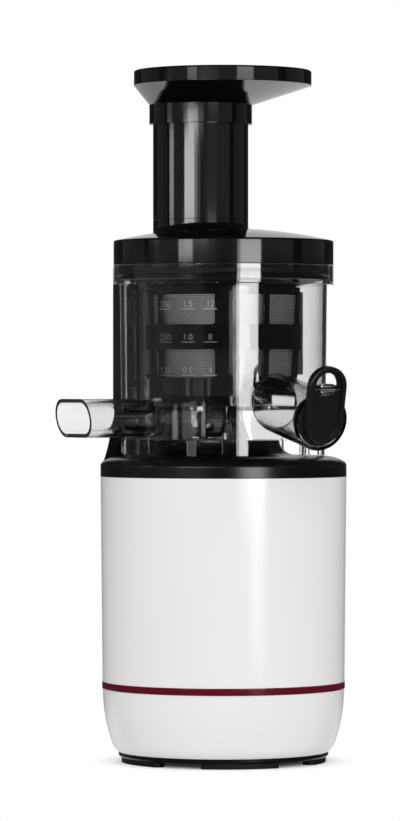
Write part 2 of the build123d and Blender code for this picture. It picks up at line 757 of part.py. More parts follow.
def make_motor_can():
    can = disc(MOTOR_R, Z_MOTOR, Z_END_CAP) - disc(MOTOR_R - CAN_WALL, Z_MOTOR + CAN_FLOOR_T, Z_END_CAP)
    pocket = MOTOR_BEARING_R + SEAT
    z0 = Z_MOTOR + CAN_FLOOR_T
    can += ring(pocket + BEARING_POCKET_WALL, pocket, z0, z0 + MOTOR_BEARING_H)
    vent = Pos(CAN_VENT_R, 0, Z_MOTOR) * extrude(SlotOverall(CAN_VENT_L, CAN_VENT_W), CAN_FLOOR_T)
    can -= around(vent, FAN_BLADES, 0)
    return can - disc(MOTOR_SHAFT_R + AIR, Z_MOTOR, z0)


def brush_z():
    return Z_COMMUTATOR + COMMUTATOR_H / 2


def brush_block(gap):
    inner = COMMUTATOR_R + AIR
    half = BRUSH_W / 2 + gap
    tall = BRUSH_H / 2 + gap
    return block(inner - gap, inner + BRUSH_L + gap, -half, half, brush_z() - tall, brush_z() + tall)


def make_motor_end_cap():
    """Cap with the upper bearing and two brush boxes, screwed under the gearbox."""
    cap = disc(MOTOR_R, Z_END_CAP, Z_CASE)
    cap -= disc(MOTOR_BEARING_R + SEAT, Z_END_CAP, Z_END_CAP + MOTOR_BEARING_H)
    cap -= disc(MOTOR_SHAFT_R + AIR, Z_END_CAP, Z_CASE)
    inner = COMMUTATOR_R + BRUSH_BOX_GAP
    half = BRUSH_W / 2 + BRUSH_BOX_WALL
    low = brush_z() - BRUSH_H / 2 - BRUSH_BOX_WALL
    box = block(inner, inner + BRUSH_L, -half, half, low, Z_END_CAP + END_CAP_T / 2) - brush_block(FIT)
    return cap + around(box, 2, 0)


def make_carbon_brushes():
    return around(brush_block(0), 2, 0)


def make_motor_magnets():
    outer = MOTOR_R - CAN_WALL - RUN
    z0 = Z_ROTOR + (ROTOR_H - MAGNET_H) / 2
    arc = sector(outer, outer - MAGNET_T, z0, z0 + MAGNET_H, 0, MAGNET_HALF)
    return around(arc, 2, 0)


def make_motor_bearings():
    levels = (Z_MOTOR + CAN_FLOOR_T, Z_END_CAP)
    return [ring(MOTOR_BEARING_R, MOTOR_SHAFT_R + RUN, z, z + MOTOR_BEARING_H) for z in levels]


def make_motor_shaft():
    return disc(MOTOR_SHAFT_R, Z_FAN, Z_STAGE_ONE + STAGE_ONE_FACE)


def make_rotor_core():
    top = Z_ROTOR + ROTOR_H
    core = ring(ROTOR_R, MOTOR_SHAFT_R + SEAT, Z_ROTOR, top)
    half = ROTOR_SLOT_W / 2
    slot = block(ROTOR_R - ROTOR_SLOT_DEPTH, ROTOR_R + half, -half / 2, half / 2, Z_ROTOR, top)
    slot += block(ROTOR_R - ROTOR_SLOT_DEPTH, ROTOR_R - half, -half, half, Z_ROTOR, top)
    return core - around(slot, ROTOR_SLOTS, 0)


def make_commutator():
    return ring(COMMUTATOR_R, MOTOR_SHAFT_R + SEAT, Z_COMMUTATOR, Z_COMMUTATOR + COMMUTATOR_H)


def make_cooling_fan():
    root = (FAN_HUB_R + MOTOR_SHAFT_R) / 2
    fan = ring(FAN_HUB_R, MOTOR_SHAFT_R + SEAT, Z_FAN, Z_FAN + FAN_H)
    fan += ring(FAN_R, root, Z_FAN + FAN_H - FAN_DISC_T, Z_FAN + FAN_H)
    blade = block(root, FAN_R, -FAN_BLADE_T / 2, FAN_BLADE_T / 2, Z_FAN, Z_FAN + FAN_H)
    return fan + around(blade, FAN_BLADES, 0)


def make_motor_pinion():
    gear = stage_gear(PINION_TEETH, Z_STAGE_ONE, Z_STAGE_ONE + STAGE_ONE_FACE, 0)
    return gear - disc(MOTOR_SHAFT_R + SEAT, Z_STAGE_ONE, Z_STAGE_ONE + STAGE_ONE_FACE)


# Gearbox and drive shaft

def make_gearbox_case():
    flange_r = shell_radius(Z_CASE) - SHELL_WALL - FIT
    case = disc(flange_r, Z_CASE, Z_CASE_FLOOR)
    outer = CASE_INNER_R + CASE_WALL
    case += ring(outer, CASE_INNER_R, Z_CASE, Z_CASE_TOP)
    screw_r = shell_radius(Z_CASE) - SHELL_WALL - CASE_SCREW_INSET
    hole = Pos(screw_r, 0, Z_CASE) * Cylinder(SCREW_R + FIT, CASE_FLOOR_T, align=UPWARD)
    case -= around(hole, CASE_SCREW_COUNT, 180 / CASE_SCREW_COUNT)
    socket = Pos(STAGE_CENTRE, 0, Z_CASE + CASE_FLOOR_T - AXLE_SEAT)
    case -= socket * Cylinder(AXLE_R + SEAT, AXLE_SEAT, align=UPWARD)
    return case - disc(MOTOR_SHAFT_R + SHAFT_HOLE_GAP, Z_CASE, Z_CASE_FLOOR)


def make_gearbox_cover():
    cover = disc(CASE_INNER_R + CASE_WALL, Z_CASE_TOP, Z_COVER_TOP)
    z_bearing = Z_COVER_TOP - BEARING_H
    cover += disc(BEARING_R + BEARING_WALL, z_bearing, Z_CASE_TOP)
    cover -= disc(BEARING_R + SEAT, z_bearing, Z_COVER_TOP)
    socket = Pos(STAGE_CENTRE, 0, Z_CASE_TOP) * Cylinder(AXLE_R + SEAT, AXLE_SEAT, align=UPWARD)
    return cover - socket


def make_gearbox_screws():
    screw_r = shell_radius(Z_CASE) - SHELL_WALL - CASE_SCREW_INSET
    low = Z_CASE_FLOOR - CASE_SCREW_L
    screw = Pos(screw_r, 0, low) * Cylinder(SCREW_R, CASE_SCREW_L, align=UPWARD)
    screw += Pos(screw_r, 0, Z_CASE_FLOOR) * Cylinder(SCREW_HEAD_R, SCREW_HEAD_H, align=UPWARD)
    return around(screw, CASE_SCREW_COUNT, 180 / CASE_SCREW_COUNT)


def make_intermediate_axle():
    low = Z_CASE_FLOOR - AXLE_SEAT
    return Pos(STAGE_CENTRE, 0, low) * Cylinder(AXLE_R, Z_CASE_TOP + AXLE_SEAT - low, align=UPWARD)


def make_intermediate_gear():
    """Large wheel driven by the motor pinion, in one piece with the small pinion above it."""
    z_join = Z_STAGE_ONE + STAGE_ONE_FACE
    top = Z_STAGE_TWO + STAGE_TWO_FACE
    gear = stage_gear(WHEEL_TEETH, Z_STAGE_ONE, z_join, 180 / WHEEL_TEETH)
    gear += stage_gear(PINION_TEETH, z_join, top, 0)
    gear += ring(AXLE_R + AXLE_COLLAR_T, AXLE_R + RUN, Z_CASE_FLOOR + AIR, Z_STAGE_ONE)
    return Pos(STAGE_CENTRE, 0, 0) * (gear - disc(AXLE_R + RUN, Z_CASE_FLOOR, top))


def make_output_gear():
    top = Z_STAGE_TWO + STAGE_TWO_FACE
    gear = stage_gear(WHEEL_TEETH, Z_STAGE_TWO, top, 180 / WHEEL_TEETH)
    gear += disc(SHAFT_R + SHAFT_SHOULDER, top, Z_COVER_TOP - BEARING_H - AIR)
    return gear - disc(SHAFT_R + SEAT, Z_STAGE_TWO, Z_CASE_TOP)


def make_drive_shaft():
    shaft = disc(SHAFT_R, Z_STAGE_TWO, Z_PEDESTAL + SHAFT_SHOULDER)
    hexagon = RegularPolygon(HEX_AF / 2, HEX_SIDES, major_radius=False)
    key = Pos(0, 0, Z_PEDESTAL) * extrude(hexagon, Z_HEX_TOP - Z_PEDESTAL)
    return shaft + chamfer(key.edges().group_by(Axis.Z)[-1], HEX_CHAMFER)


def make_bearing(top):
    return ring(BEARING_R, SHAFT_R + RUN, top - BEARING_H, top)


def make_shaft_seal():
    return ring(SEAL_R, SHAFT_R + RUN, Z_PEDESTAL - SEAL_H, Z_PEDESTAL)


# Bowl with its spout, pulp tube and gears

def spout_plane():
    """Sketch plane on the spout's mouth: x across, y up the mouth, z out along the spout."""
    slope = math.radians(SPOUT_SLOPE)
    origin = (SPOUT_ASIDE, -SPOUT_REACH, Z_FLOOR - SPOUT_DROP)
    return Plane(origin=origin, x_dir=(1, 0, 0), z_dir=(0, -math.cos(slope), -math.sin(slope)))


def lever_pin_spot():
    """Hinge pin of the drip lever on the mouth plane: height above the centre, and out along the spout."""
    return SPOUT_R + LEVER_PIN_RISE, LEVER_BACK + LEVER_PIN_DEPTH


def spout_side_plane():
    mouth = spout_plane()
    return Plane(origin=mouth.origin, x_dir=mouth.z_dir, z_dir=(-1, 0, 0))


def spout_lug():
    """Hinge lug over the spout's mouth, rounded about the pin."""
    rise, out = lever_pin_spot()
    back, up = polar(LUG_R, LUG_SHOULDER)
    web = Polyline(
        (-LUG_ROOT, SPOUT_R - SPOUT_WALL / 2), (0, rise - LUG_R), (out, rise - LUG_R), (out, rise),
        (out + back, rise + up), (-LUG_ROOT, SPOUT_R), close=True
    )
    side = make_face(web) + Pos(out, rise) * Circle(LUG_R)
    side -= Pos(out, rise) * Circle(LEVER_PIN_R + RUN)
    return extrude(spout_side_plane() * side, LUG_HALF, both=True)


def spout_length():
    return (SPOUT_REACH - BOWL_BOTTOM_R / 2) / math.cos(math.radians(SPOUT_SLOPE))


def spout_bore():
    return extrude(spout_plane() * Circle(SPOUT_R - SPOUT_WALL), -spout_length())


def make_juice_spout():
    """Sloping tube bonded to the bowl's wall, with the drip lever's hinge lug over its mouth."""
    spout = extrude(spout_plane() * Circle(SPOUT_R), -spout_length()) + spout_lug()
    return spout - spout_bore() - bowl_cone(-SEAT, Z_BOWL, Z_LEDGE)


def pulp_plane(x):
    return Plane(origin=(x, 0, Z_FLOOR - PULP_DROP), x_dir=(0, 1, 0), z_dir=(-1, 0, 0))


def pulp_passage(inset, x_start, x_step):
    """Flat-sided tube towards -X. Nearer the axis than x_step it stays below the floor, under the gears."""
    face = SlotOverall(PULP_W - 2 * inset, PULP_H - 2 * inset)
    reach = PULP_REACH + PULP_H
    tube = extrude(pulp_plane(-x_start) * face, reach - x_start)
    return tube - block(-x_step, 0, -PULP_W, PULP_W, Z_FLOOR_UNDER - SEAT, Z_LEDGE)


def pulp_step():
    """Where the pulp tube rises through the floor, just outside the basket's ring gear."""
    return RING_ROOT_R + RING_WALL + PULP_HUMP_GAP


def pulp_mouth_cut():
    tip = Pos(-PULP_REACH, 0, Z_FLOOR - PULP_DROP) * Rot(0, -PULP_SLANT, 0)
    return tip * Box(PULP_W * 2, PULP_W * 2, PULP_W * 4, align=(Align.MAX, Align.CENTER, Align.CENTER))


def make_pulp_tube():
    """Trough under the bowl's floor that rises through it and leaves as a flat tube."""
    tube = pulp_passage(0, HUB_R + SEAT, pulp_step())
    tube -= pulp_passage(PULP_WALL, HUB_R + PULP_WALL, pulp_step() + PULP_WALL)
    return tube - pulp_mouth_cut()


def make_bowl():
    wall = bowl_cone(0, Z_BOWL, Z_LEDGE) + disc(RIM_R, Z_LEDGE, Z_RIM_TOP)
    inside = bowl_cone(BOWL_WALL, Z_BOWL, Z_LEDGE)
    bowl = wall - (inside - disc(BOWL_TOP_R, Z_FLOOR_UNDER, Z_FLOOR))
    bowl -= disc(bowl_radius(Z_LEDGE) - BOWL_WALL, Z_LEDGE, Z_RIM)
    bowl -= disc(RIM_INNER_R, Z_RIM, Z_RIM_TOP)
    legs = []
    for shift, half in ((LEG_WIDE_SHIFT, LEG_WIDE_HALF), (LEG_NARROW_SHIFT, LEG_NARROW_HALF)):
        inner = BOWL_BOTTOM_R - BOWL_WALL + FIT
        leg = sector(BOWL_BOTTOM_R - SEAT, inner, Z_DECK + AIR, Z_BOWL + BOWL_WALL, 0, half)
        legs += around(leg, LOCK_COUNT, LOCK_HEADING + shift)
    bowl += legs
    z_hub = Z_FLOOR - HUB_DEPTH
    bowl += disc(HUB_R, z_hub, Z_FLOOR)
    bowl -= pulp_passage(-SEAT, HUB_R + SEAT, pulp_step() - SEAT)
    chute_top = Z_STRAINER - AIR
    bowl += sector(CHUTE_OUTER_R + CHUTE_WALL, CHUTE_INNER_R - CHUTE_WALL, Z_FLOOR_UNDER, chute_top,
                   PULP_SIDE, CHUTE_HALF + math.degrees(CHUTE_WALL / CHUTE_INNER_R))
    opening = sector(CHUTE_OUTER_R, CHUTE_INNER_R, Z_FLOOR_UNDER, chute_top, PULP_SIDE, CHUTE_HALF)
    bowl -= opening & block(-PULP_REACH, -HUB_R - PULP_WALL, -PULP_W, PULP_W, Z_BOWL, Z_LEDGE)
    bowl -= spout_bore() - disc(BOWL_TOP_R, Z_BOWL, Z_FLOOR)
    bowl -= disc(JOURNAL_R + RUN, z_hub, Z_FLOOR)
    bowl -= disc(JOURNAL_R + RUN + HUB_SEAL_W, z_hub, z_hub + HUB_SEAL_H)
    return bowl - Pos(IDLER_CENTRE, 0, 0) * disc(IDLER_PIN_R + SEAT, Z_FLOOR_UNDER, Z_FLOOR)


def make_bowl_seal():
    z0 = Z_FLOOR - HUB_DEPTH
    return ring(JOURNAL_R + RUN + HUB_SEAL_W - SEAT, JOURNAL_R + RUN, z0, z0 + HUB_SEAL_H)


def make_lever_pin():
    rise, out = lever_pin_spot()
    return extrude(spout_side_plane() * Pos(out, rise) * Circle(LEVER_PIN_R), LEVER_PIN_HALF, both=True)


def make_drip_lever():
    """Finger lever over the spout's mouth: raised rim, finger loop, and a slot round the hinge lug."""
    rise, out = lever_pin_spot()
    middle = (LEVER_ABOVE - LEVER_BELOW) / 2
    tall = LEVER_ABOVE + LEVER_BELOW
    mouth = spout_plane()
    outline = Pos(0, middle) * Rot(0, 0, 90) * SlotOverall(tall, LEVER_W)
    lever = extrude(mouth * Pos(0, 0, LEVER_BACK) * outline, LEVER_T)
    lever = fillet(lever.edges().filter_by(GeomType.CIRCLE), LEVER_EDGE_R)
    panel = Pos(0, middle) * Rot(0, 0, 90) * SlotOverall(tall - 2 * LEVER_RIM, LEVER_W - 2 * LEVER_RIM)
    front = LEVER_BACK + LEVER_T
    lever -= extrude(mouth * Pos(0, 0, front - LEVER_RECESS) * panel, LEVER_RECESS)
    loop = Pos(0, LOOP_RISE) * (Circle(LOOP_R) & Pos(0, LOOP_R) * Rectangle(4 * LOOP_R, 2 * LOOP_R))
    slot_low = rise - LUG_R - AIR
    slot_w = 2 * (LUG_HALF + AIR)
    slot = Pos(0, (slot_low + LOOP_RISE) / 2) * Rectangle(slot_w, LOOP_RISE - slot_low + 2 * AIR)
    lever -= extrude(mouth * (loop + slot), front)
    bore = Pos(out, rise) * Circle(LEVER_PIN_R + SEAT)
    return lever - extrude(spout_side_plane() * bore, LEVER_PIN_HALF + SEAT, both=True)


def make_drip_plug():
    """Soft tapered plug on the back of the lever. The taper lets it swing out of the mouth."""
    mouth = spout_plane()
    inner = Pos(0, 0, -PLUG_DEPTH) * Cone(PLUG_TIP_R, PLUG_R, PLUG_DEPTH, align=UPWARD)
    neck = Cylinder(PLUG_NECK_R, LEVER_BACK, align=UPWARD)
    return mouth.location * (inner + neck)


def make_idler_pin():
    return Pos(IDLER_CENTRE, 0, 0) * disc(IDLER_PIN_R, Z_FLOOR_UNDER, Z_GEARS_TOP + IDLER_PIN_PROUD)


def make_idler_gear():
    gear = bowl_gear(IDLER_TEETH, 180 / IDLER_TEETH) - disc(IDLER_PIN_R + RUN, Z_GEARS, Z_GEARS_TOP)
    return Pos(IDLER_CENTRE, 0, 0) * gear


# Strainer

def make_strainer_frame():
    """Funnel flange on the bowl's ledge, carrying the ribs and the foot ring round the bottom plate."""
    head = STRAINER_HEAD_R
    seat_r = RIM_INNER_R - SPIGOT_GAP
    top = Z_RIM + STRAINER_FLANGE_T
    head_top = Z_MESH_TOP + STRAINER_HEAD_H
    frame = turned_points(
        (head - STRAINER_RING_T, Z_MESH_TOP), (head, Z_MESH_TOP), (head, head_top),
        (seat_r - STRAINER_SEAT_W, Z_RIM), (seat_r, Z_RIM), (seat_r, top),
        (seat_r - STRAINER_SEAT_W, top), (head - STRAINER_RING_T, head_top + STRAINER_FLANGE_T)
    )
    foot = STRAINER_FOOT_R
    frame += ring(foot, foot - STRAINER_RING_T, Z_STRAINER, Z_MESH)
    low = foot - MESH_T - SEAT
    high = head - MESH_T - SEAT
    outline = [
        (low - RIB_T, Z_MESH - RIB_T), (low, Z_MESH), (high, Z_MESH_TOP), (high - RIB_T, Z_MESH_TOP + RIB_T)
    ]
    rib = upright(outline, RIB_W, 0)
    return frame + around(rib, RIB_COUNT, RIB_HEADING)


def make_strainer_plate():
    """Bottom plate that the auger works on, bonded in the foot ring, with the mouth of the pulp chute."""
    rim = STRAINER_FOOT_R - STRAINER_RING_T - SEAT
    tip_r = BOWL_MODULE * (AUGER_TEETH / 2 + BOWL_TIP_GAIN)
    plate = ring(rim, tip_r + 2 * AIR, Z_STRAINER, Z_STRAINER + STRAINER_PLATE_T)
    return plate - sector(CHUTE_OUTER_R, CHUTE_INNER_R, Z_STRAINER, Z_MESH, PULP_SIDE, CHUTE_HALF)


def make_strainer_mesh():
    foot = STRAINER_FOOT_R
    head = STRAINER_HEAD_R
    return turned_points(
        (foot - MESH_T, Z_MESH), (foot, Z_MESH), (head, Z_MESH_TOP), (head - MESH_T, Z_MESH_TOP)
    )


# Wiper basket

def basket_radius(z):
    share = (z - Z_GEARS_TOP) / BASKET_HEAD_Z
    return BASKET_FOOT_R + (BASKET_HEAD_R - BASKET_FOOT_R) * share


def basket_windows(z0, z1):
    """Row of rounded windows: after each post a narrow one, a slim mullion and a wide one."""
    radius = basket_radius((z0 + z1) / 2)
    plane = Plane(origin=(radius / 2, 0, (z0 + z1) / 2), x_dir=(0, 1, 0), z_dir=(1, 0, 0))
    wide = 360 / BASKET_SETS - BASKET_POST - BASKET_NARROW - BASKET_MULLION
    first = BASKET_HEADING + BASKET_POST / 2
    windows = []
    for start, span in ((first, BASKET_NARROW), (first + BASKET_NARROW + BASKET_MULLION, wide)):
        width = 2 * radius * math.sin(math.radians(span / 2))
        window = extrude(plane * RectangleRounded(width, z1 - z0, BASKET_CORNER_R), radius)
        windows += around(window, BASKET_SETS, start + span / 2)
    return windows


def wiper_outline(gap):
    low = Z_GEARS + BASKET_RING_TOP + BASKET_CORNER_R - gap
    high = Z_GEARS + BASKET_HEAD_Z + gap
    inner = AIR - gap
    outer = basket_radius(high) + WIPER_PROUD + gap
    return [(mesh_radius(low) + inner, low), (outer, low), (outer, high), (mesh_radius(high) + inner, high)]


def make_wiper_basket():
    """Turning basket between strainer and bowl: ring gear below, posts and bands with windows above."""
    top = Z_GEARS + BASKET_HEAD_Z + BASKET_HEAD_H
    web = Z_GEARS_TOP + BASKET_WEB_T
    basket = turned_points(
        (mesh_radius(Z_GEARS_TOP) + BASKET_GAP, Z_GEARS_TOP), (basket_radius(Z_GEARS_TOP), Z_GEARS_TOP),
        (basket_radius(top), top), (mesh_radius(top) + BASKET_GAP, top)
    )
    band_low = Z_GEARS + BASKET_BAND_Z
    band_high = band_low + BASKET_BAND_H
    basket -= basket_windows(Z_GEARS + BASKET_RING_TOP, band_low)
    basket -= basket_windows(band_high, Z_GEARS + BASKET_HEAD_Z)
    band_r = basket_radius((band_low + band_high) / 2)
    basket += ring(band_r + BASKET_BAND_PROUD, band_r - BASKET_GAP, band_low, band_high)
    space = gear_face(BOWL_MODULE, RING_TEETH, -BACKLASH, RING_SPACE_GAIN, BOWL_TIP_GAIN, 180 / RING_TEETH)
    basket += Pos(0, 0, Z_GEARS) * extrude(Circle(RING_ROOT_R + RING_WALL) - space, BOWL_GEAR_FACE)
    tip_r = BOWL_MODULE * (RING_TEETH / 2 - BOWL_TIP_GAIN)
    basket += ring(basket_radius(web) - BASKET_GAP, tip_r, Z_GEARS_TOP, web)
    return basket - around(upright(wiper_outline(RUN), WIPER_T + 2 * RUN, 0), BASKET_SETS, BASKET_HEADING)


def make_silicone_wipers():
    return around(upright(wiper_outline(0), WIPER_T, 0), BASKET_SETS, BASKET_HEADING)


# Auger

def make_auger_screw():
    """Tapered core with three helical flights, a drive gear below and a pivot pin on top."""
    z_low = Z_STRAINER + STRAINER_PLATE_T + AIR
    z_high = Z_RIM + FLIGHT_TOP
    inset = MESH_T + RIB_T + AUGER_GAP
    reach_low = mesh_radius(z_low) - inset
    reach_high = mesh_radius(Z_MESH_TOP) - inset
    pin_top = Z_LID_SHOULDER
    tip = pin_top - PIN_L
    core = turned([
        Polyline((0, Z_GEARS_TOP), (AUGER_NECK_R, Z_GEARS_TOP), (AUGER_NECK_R, z_low)),
        Spline((AUGER_NECK_R, z_low), (AUGER_BELLY_R, Z_HEX_TOP), (AUGER_SHOULDER_R, Z_MESH_TOP),
               (AUGER_TIP_R, tip)),
        Polyline((AUGER_TIP_R, tip), (PIN_R, tip), (PIN_R, pin_top), (0, pin_top), (0, Z_GEARS_TOP)),
    ])
    arm = Pos(STRAINER_HEAD_R / 2, 0) * Rectangle(STRAINER_HEAD_R, FLIGHT_T)
    arms = Sketch() + [Rot(0, 0, 360 * index / FLIGHT_COUNT) * arm for index in range(FLIGHT_COUNT)]
    section = (Pos(0, 0, z_low) * arms).face()
    climb = (0, 0, z_high - z_low)
    flights = Solid.extrude_linear_with_rotation(section, (0, 0, z_low), climb, FLIGHT_TWIST)
    envelope = turned_points(
        (0, z_low), (reach_low, z_low), (reach_high, Z_MESH_TOP),
        (reach_high - FLIGHT_TOP_INSET, z_high), (0, z_high)
    )
    screw = core + (Part() + flights & envelope)
    screw += bowl_gear(AUGER_TEETH, 0)
    z_journal = Z_FLOOR - HUB_DEPTH
    screw += disc(JOURNAL_R, z_journal, Z_GEARS)
    return screw - disc(INSERT_R + SEAT, z_journal, Z_HEX_TOP + HEX_END_GAP)


def make_auger_drive_insert():
    """Steel sleeve moulded into the auger, with the hexagon socket for the drive shaft."""
    z0 = Z_FLOOR - HUB_DEPTH
    socket = RegularPolygon(HEX_AF / 2 + HEX_GAP, HEX_SIDES, major_radius=False)
    return Pos(0, 0, z0) * extrude(Circle(INSERT_R) - socket, Z_HEX_TOP + HEX_END_GAP - z0)


# Lid and tray

def is_tube_root(edge):
    """The edge where the feed tube meets the top of the dome."""
    box = edge.bounding_box()
    return box.size.Y > TUBE_R and abs(box.max.Z - Z_LID_TOP) < LID_WALL / 2


def make_lid():
    """Domed lid with the feed tube's root, a spigot into the bowl's rim and the auger's top bearing."""
    inner_r = SPIGOT_R - SPIGOT_T
    z_spigot = Z_LID - SPIGOT_DROP
    dome_r = (RIM_R ** 2 + LID_RISE ** 2) / (2 * LID_RISE)
    under = dome_r - LID_WALL
    drop = under - math.sqrt(under ** 2 - inner_r ** 2)
    crown = Z_LID_TOP - LID_WALL
    lid = turned([
        Polyline((inner_r, crown - drop), (inner_r, z_spigot), (SPIGOT_R, z_spigot), (SPIGOT_R, Z_LID),
                 (RIM_R, Z_LID), (RIM_R, Z_LID_SHOULDER)),
        RadiusArc((RIM_R, Z_LID_SHOULDER), (0, Z_LID_TOP), -dome_r),
        Line((0, Z_LID_TOP), (0, crown)),
        RadiusArc((0, crown), (inner_r, crown - drop), under),
    ])
    shoulder = lid.edges().filter_by_position(Axis.Z, Z_LID_SHOULDER - AIR, Z_LID_SHOULDER + AIR)
    lid = fillet(shoulder, LID_EDGE_R)
    lid += Pos(0, TUBE_OFFSET, 0) * disc(TUBE_R, Z_LID_SHOULDER - TUBE_SKIRT, Z_LID_TOP + TUBE_STUB)
    lid = fillet(lid.edges().filter_by(is_tube_root), TUBE_ROOT_R)
    lid -= Pos(0, TUBE_OFFSET, 0) * disc(TUBE_BORE_R, Z_LID_SHOULDER - TUBE_SKIRT, Z_LID_TOP + TUBE_STUB)
    hub_r = PIN_R + RUN + BUSH_WALL + SEAT + LID_HUB_WALL
    low = Z_LID_SHOULDER - PIN_L + AIR
    lid += disc(hub_r, low, crown)
    lid -= disc(hub_r - LID_HUB_WALL, low, Z_LID_SHOULDER + AIR)
    z_groove = z_spigot + LID_SEAL_T
    return lid - ring(SPIGOT_R, SPIGOT_R - LID_SEAL_T, z_groove, z_groove + LID_SEAL_H)


def make_feed_tube():
    """Upright feed tube, bonded on the root that stands on the lid."""
    low = Z_LID_TOP + TUBE_STUB + SEAT
    return Pos(0, TUBE_OFFSET, 0) * ring(TUBE_R, TUBE_BORE_R, low, Z_TUBE_TOP)


def make_interlock_tab():
    """Tab on the back of the lid that carries the magnet over the column's sensor."""
    tab = sector(COLUMN_OUTER_R - COLUMN_WALL, RIM_R + SEAT, Z_LID, Z_LID + TONGUE_H, REAR, TONGUE_HALF)
    return tab - Pos(0, magnet_y(), Z_LID) * Cylinder(MAGNET_R + SEAT, MAGNET_DEPTH + AIR, align=UPWARD)


def magnet_y():
    return (RIM_R + COLUMN_OUTER_R - COLUMN_WALL) / 2


def make_lid_magnet():
    return Pos(0, magnet_y(), Z_LID + AIR) * Cylinder(MAGNET_R, MAGNET_DEPTH, align=UPWARD)


def make_lid_seal():
    z0 = Z_LID - SPIGOT_DROP + LID_SEAL_T + SEAT
    inner = SPIGOT_R - LID_SEAL_T + SEAT
    return ring(RIM_INNER_R - AIR, inner, z0, z0 + LID_SEAL_H - 2 * SEAT)


def make_auger_bush():
    low = Z_LID_SHOULDER - PIN_L + AIR
    return ring(PIN_R + RUN + BUSH_WALL, PIN_R + RUN, low, Z_LID_SHOULDER)


def make_feed_tray():
    """Loading tray: a collar over the feed tube, flaring forward to a wide rim."""
    collar_r = TUBE_R + AIR + TRAY_COLLAR_WALL
    at_tube = Pos(0, TUBE_OFFSET, 0)
    at_rim = Pos(0, TRAY_OFFSET, 0)
    throat = Pos(0, TUBE_OFFSET, Z_TRAY_FLARE)
    tray = at_tube * disc(collar_r, Z_TRAY_FLARE - TRAY_COLLAR_H, Z_TRAY_FLARE)
    tray += loft([throat * Circle(collar_r), Pos(0, TRAY_OFFSET, Z_TRAY_RIM) * Circle(TRAY_R)])
    tray += at_rim * disc(TRAY_R, Z_TRAY_RIM, Z_TRAY_TOP)
    tray = fillet(tray.edges().group_by(Axis.Z)[-1], TRAY_EDGE_R)
    tray -= at_tube * disc(TUBE_R + AIR, Z_TRAY_FLARE - TRAY_COLLAR_H, Z_TRAY_LIP)
    tray -= at_tube * disc(TUBE_BORE_R, Z_TRAY_LIP, Z_TRAY_FLARE)
    basin_r = TRAY_R - TRAY_WALL
    basin = Z_TRAY_RIM + TRAY_WALL / 2
    tray -= loft([throat * Circle(TUBE_BORE_R), Pos(0, TRAY_OFFSET, basin) * Circle(basin_r)])
    return tray - at_rim * disc(basin_r, basin, Z_TRAY_TOP)


def save(name, shape):
    pieces = shape if isinstance(shape, list) else [shape]
    solids = [solid for piece in pieces for solid in piece.solids()]
    export_step(solids[0] if len(solids) == 1 else Compound(children=solids), f"parts/{name}.step")


def main():
    os.makedirs("parts", exist_ok=True)
    save("feet", make_feet())
    save("base_plate", make_base_plate())
    save("filter_board", make_filter_board())
    save("base_screws", make_base_screws())
    save("lower_housing", make_lower_housing())
    save("cord_gland", make_cord_gland())
    save("trim_ring", make_trim_ring())
    save("main_housing", make_main_housing())
    save("switch_bezel", make_switch_bezel())
    save("rocker_switch", make_rocker_switch())
    save("top_cover", make_top_cover())
    save("rear_column", make_rear_column())
    save("column_cover", make_column_cover())
    save("interlock_sensor", make_interlock_sensor())
    save("motor_can", make_motor_can())
    save("motor_end_cap", make_motor_end_cap())
    save("carbon_brushes", make_carbon_brushes())
    save("motor_magnets", make_motor_magnets())
    save("motor_bearings", make_motor_bearings())
    save("motor_shaft", make_motor_shaft())
    save("rotor_core", make_rotor_core())
    save("commutator", make_commutator())
    save("cooling_fan", make_cooling_fan())
    save("motor_pinion", make_motor_pinion())
    save("gearbox_case", make_gearbox_case())
    save("gearbox_cover", make_gearbox_cover())
    save("gearbox_screws", make_gearbox_screws())
    save("intermediate_axle", make_intermediate_axle())
    save("intermediate_gear", make_intermediate_gear())
    save("output_gear", make_output_gear())
    save("drive_shaft", make_drive_shaft())
    save("lower_bearing", make_bearing(Z_COVER_TOP))
    save("upper_bearing", make_bearing(Z_PEDESTAL - SEAL_H))
    save("shaft_seal", make_shaft_seal())
    save("bowl", make_bowl())
    save("juice_spout", make_juice_spout())
    save("pulp_tube", make_pulp_tube())
    save("bowl_seal", make_bowl_seal())
    save("lever_pin", make_lever_pin())
    save("drip_lever", make_drip_lever())
    save("drip_plug", make_drip_plug())
    save("idler_pin", make_idler_pin())
    save("idler_gear", make_idler_gear())
    save("strainer_frame", make_strainer_frame())
    save("strainer_plate", make_strainer_plate())
    save("strainer_mesh", make_strainer_mesh())
    save("wiper_basket", make_wiper_basket())
    save("silicone_wipers", make_silicone_wipers())
    save("auger_screw", make_auger_screw())
    save("auger_drive_insert", make_auger_drive_insert())
    save("lid", make_lid())
    save("feed_tube", make_feed_tube())
    save("interlock_tab", make_interlock_tab())
    save("lid_magnet", make_lid_magnet())
    save("lid_seal", make_lid_seal())
    save("auger_bush", make_auger_bush())
    save("feed_tray", make_feed_tray())


main()
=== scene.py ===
import math

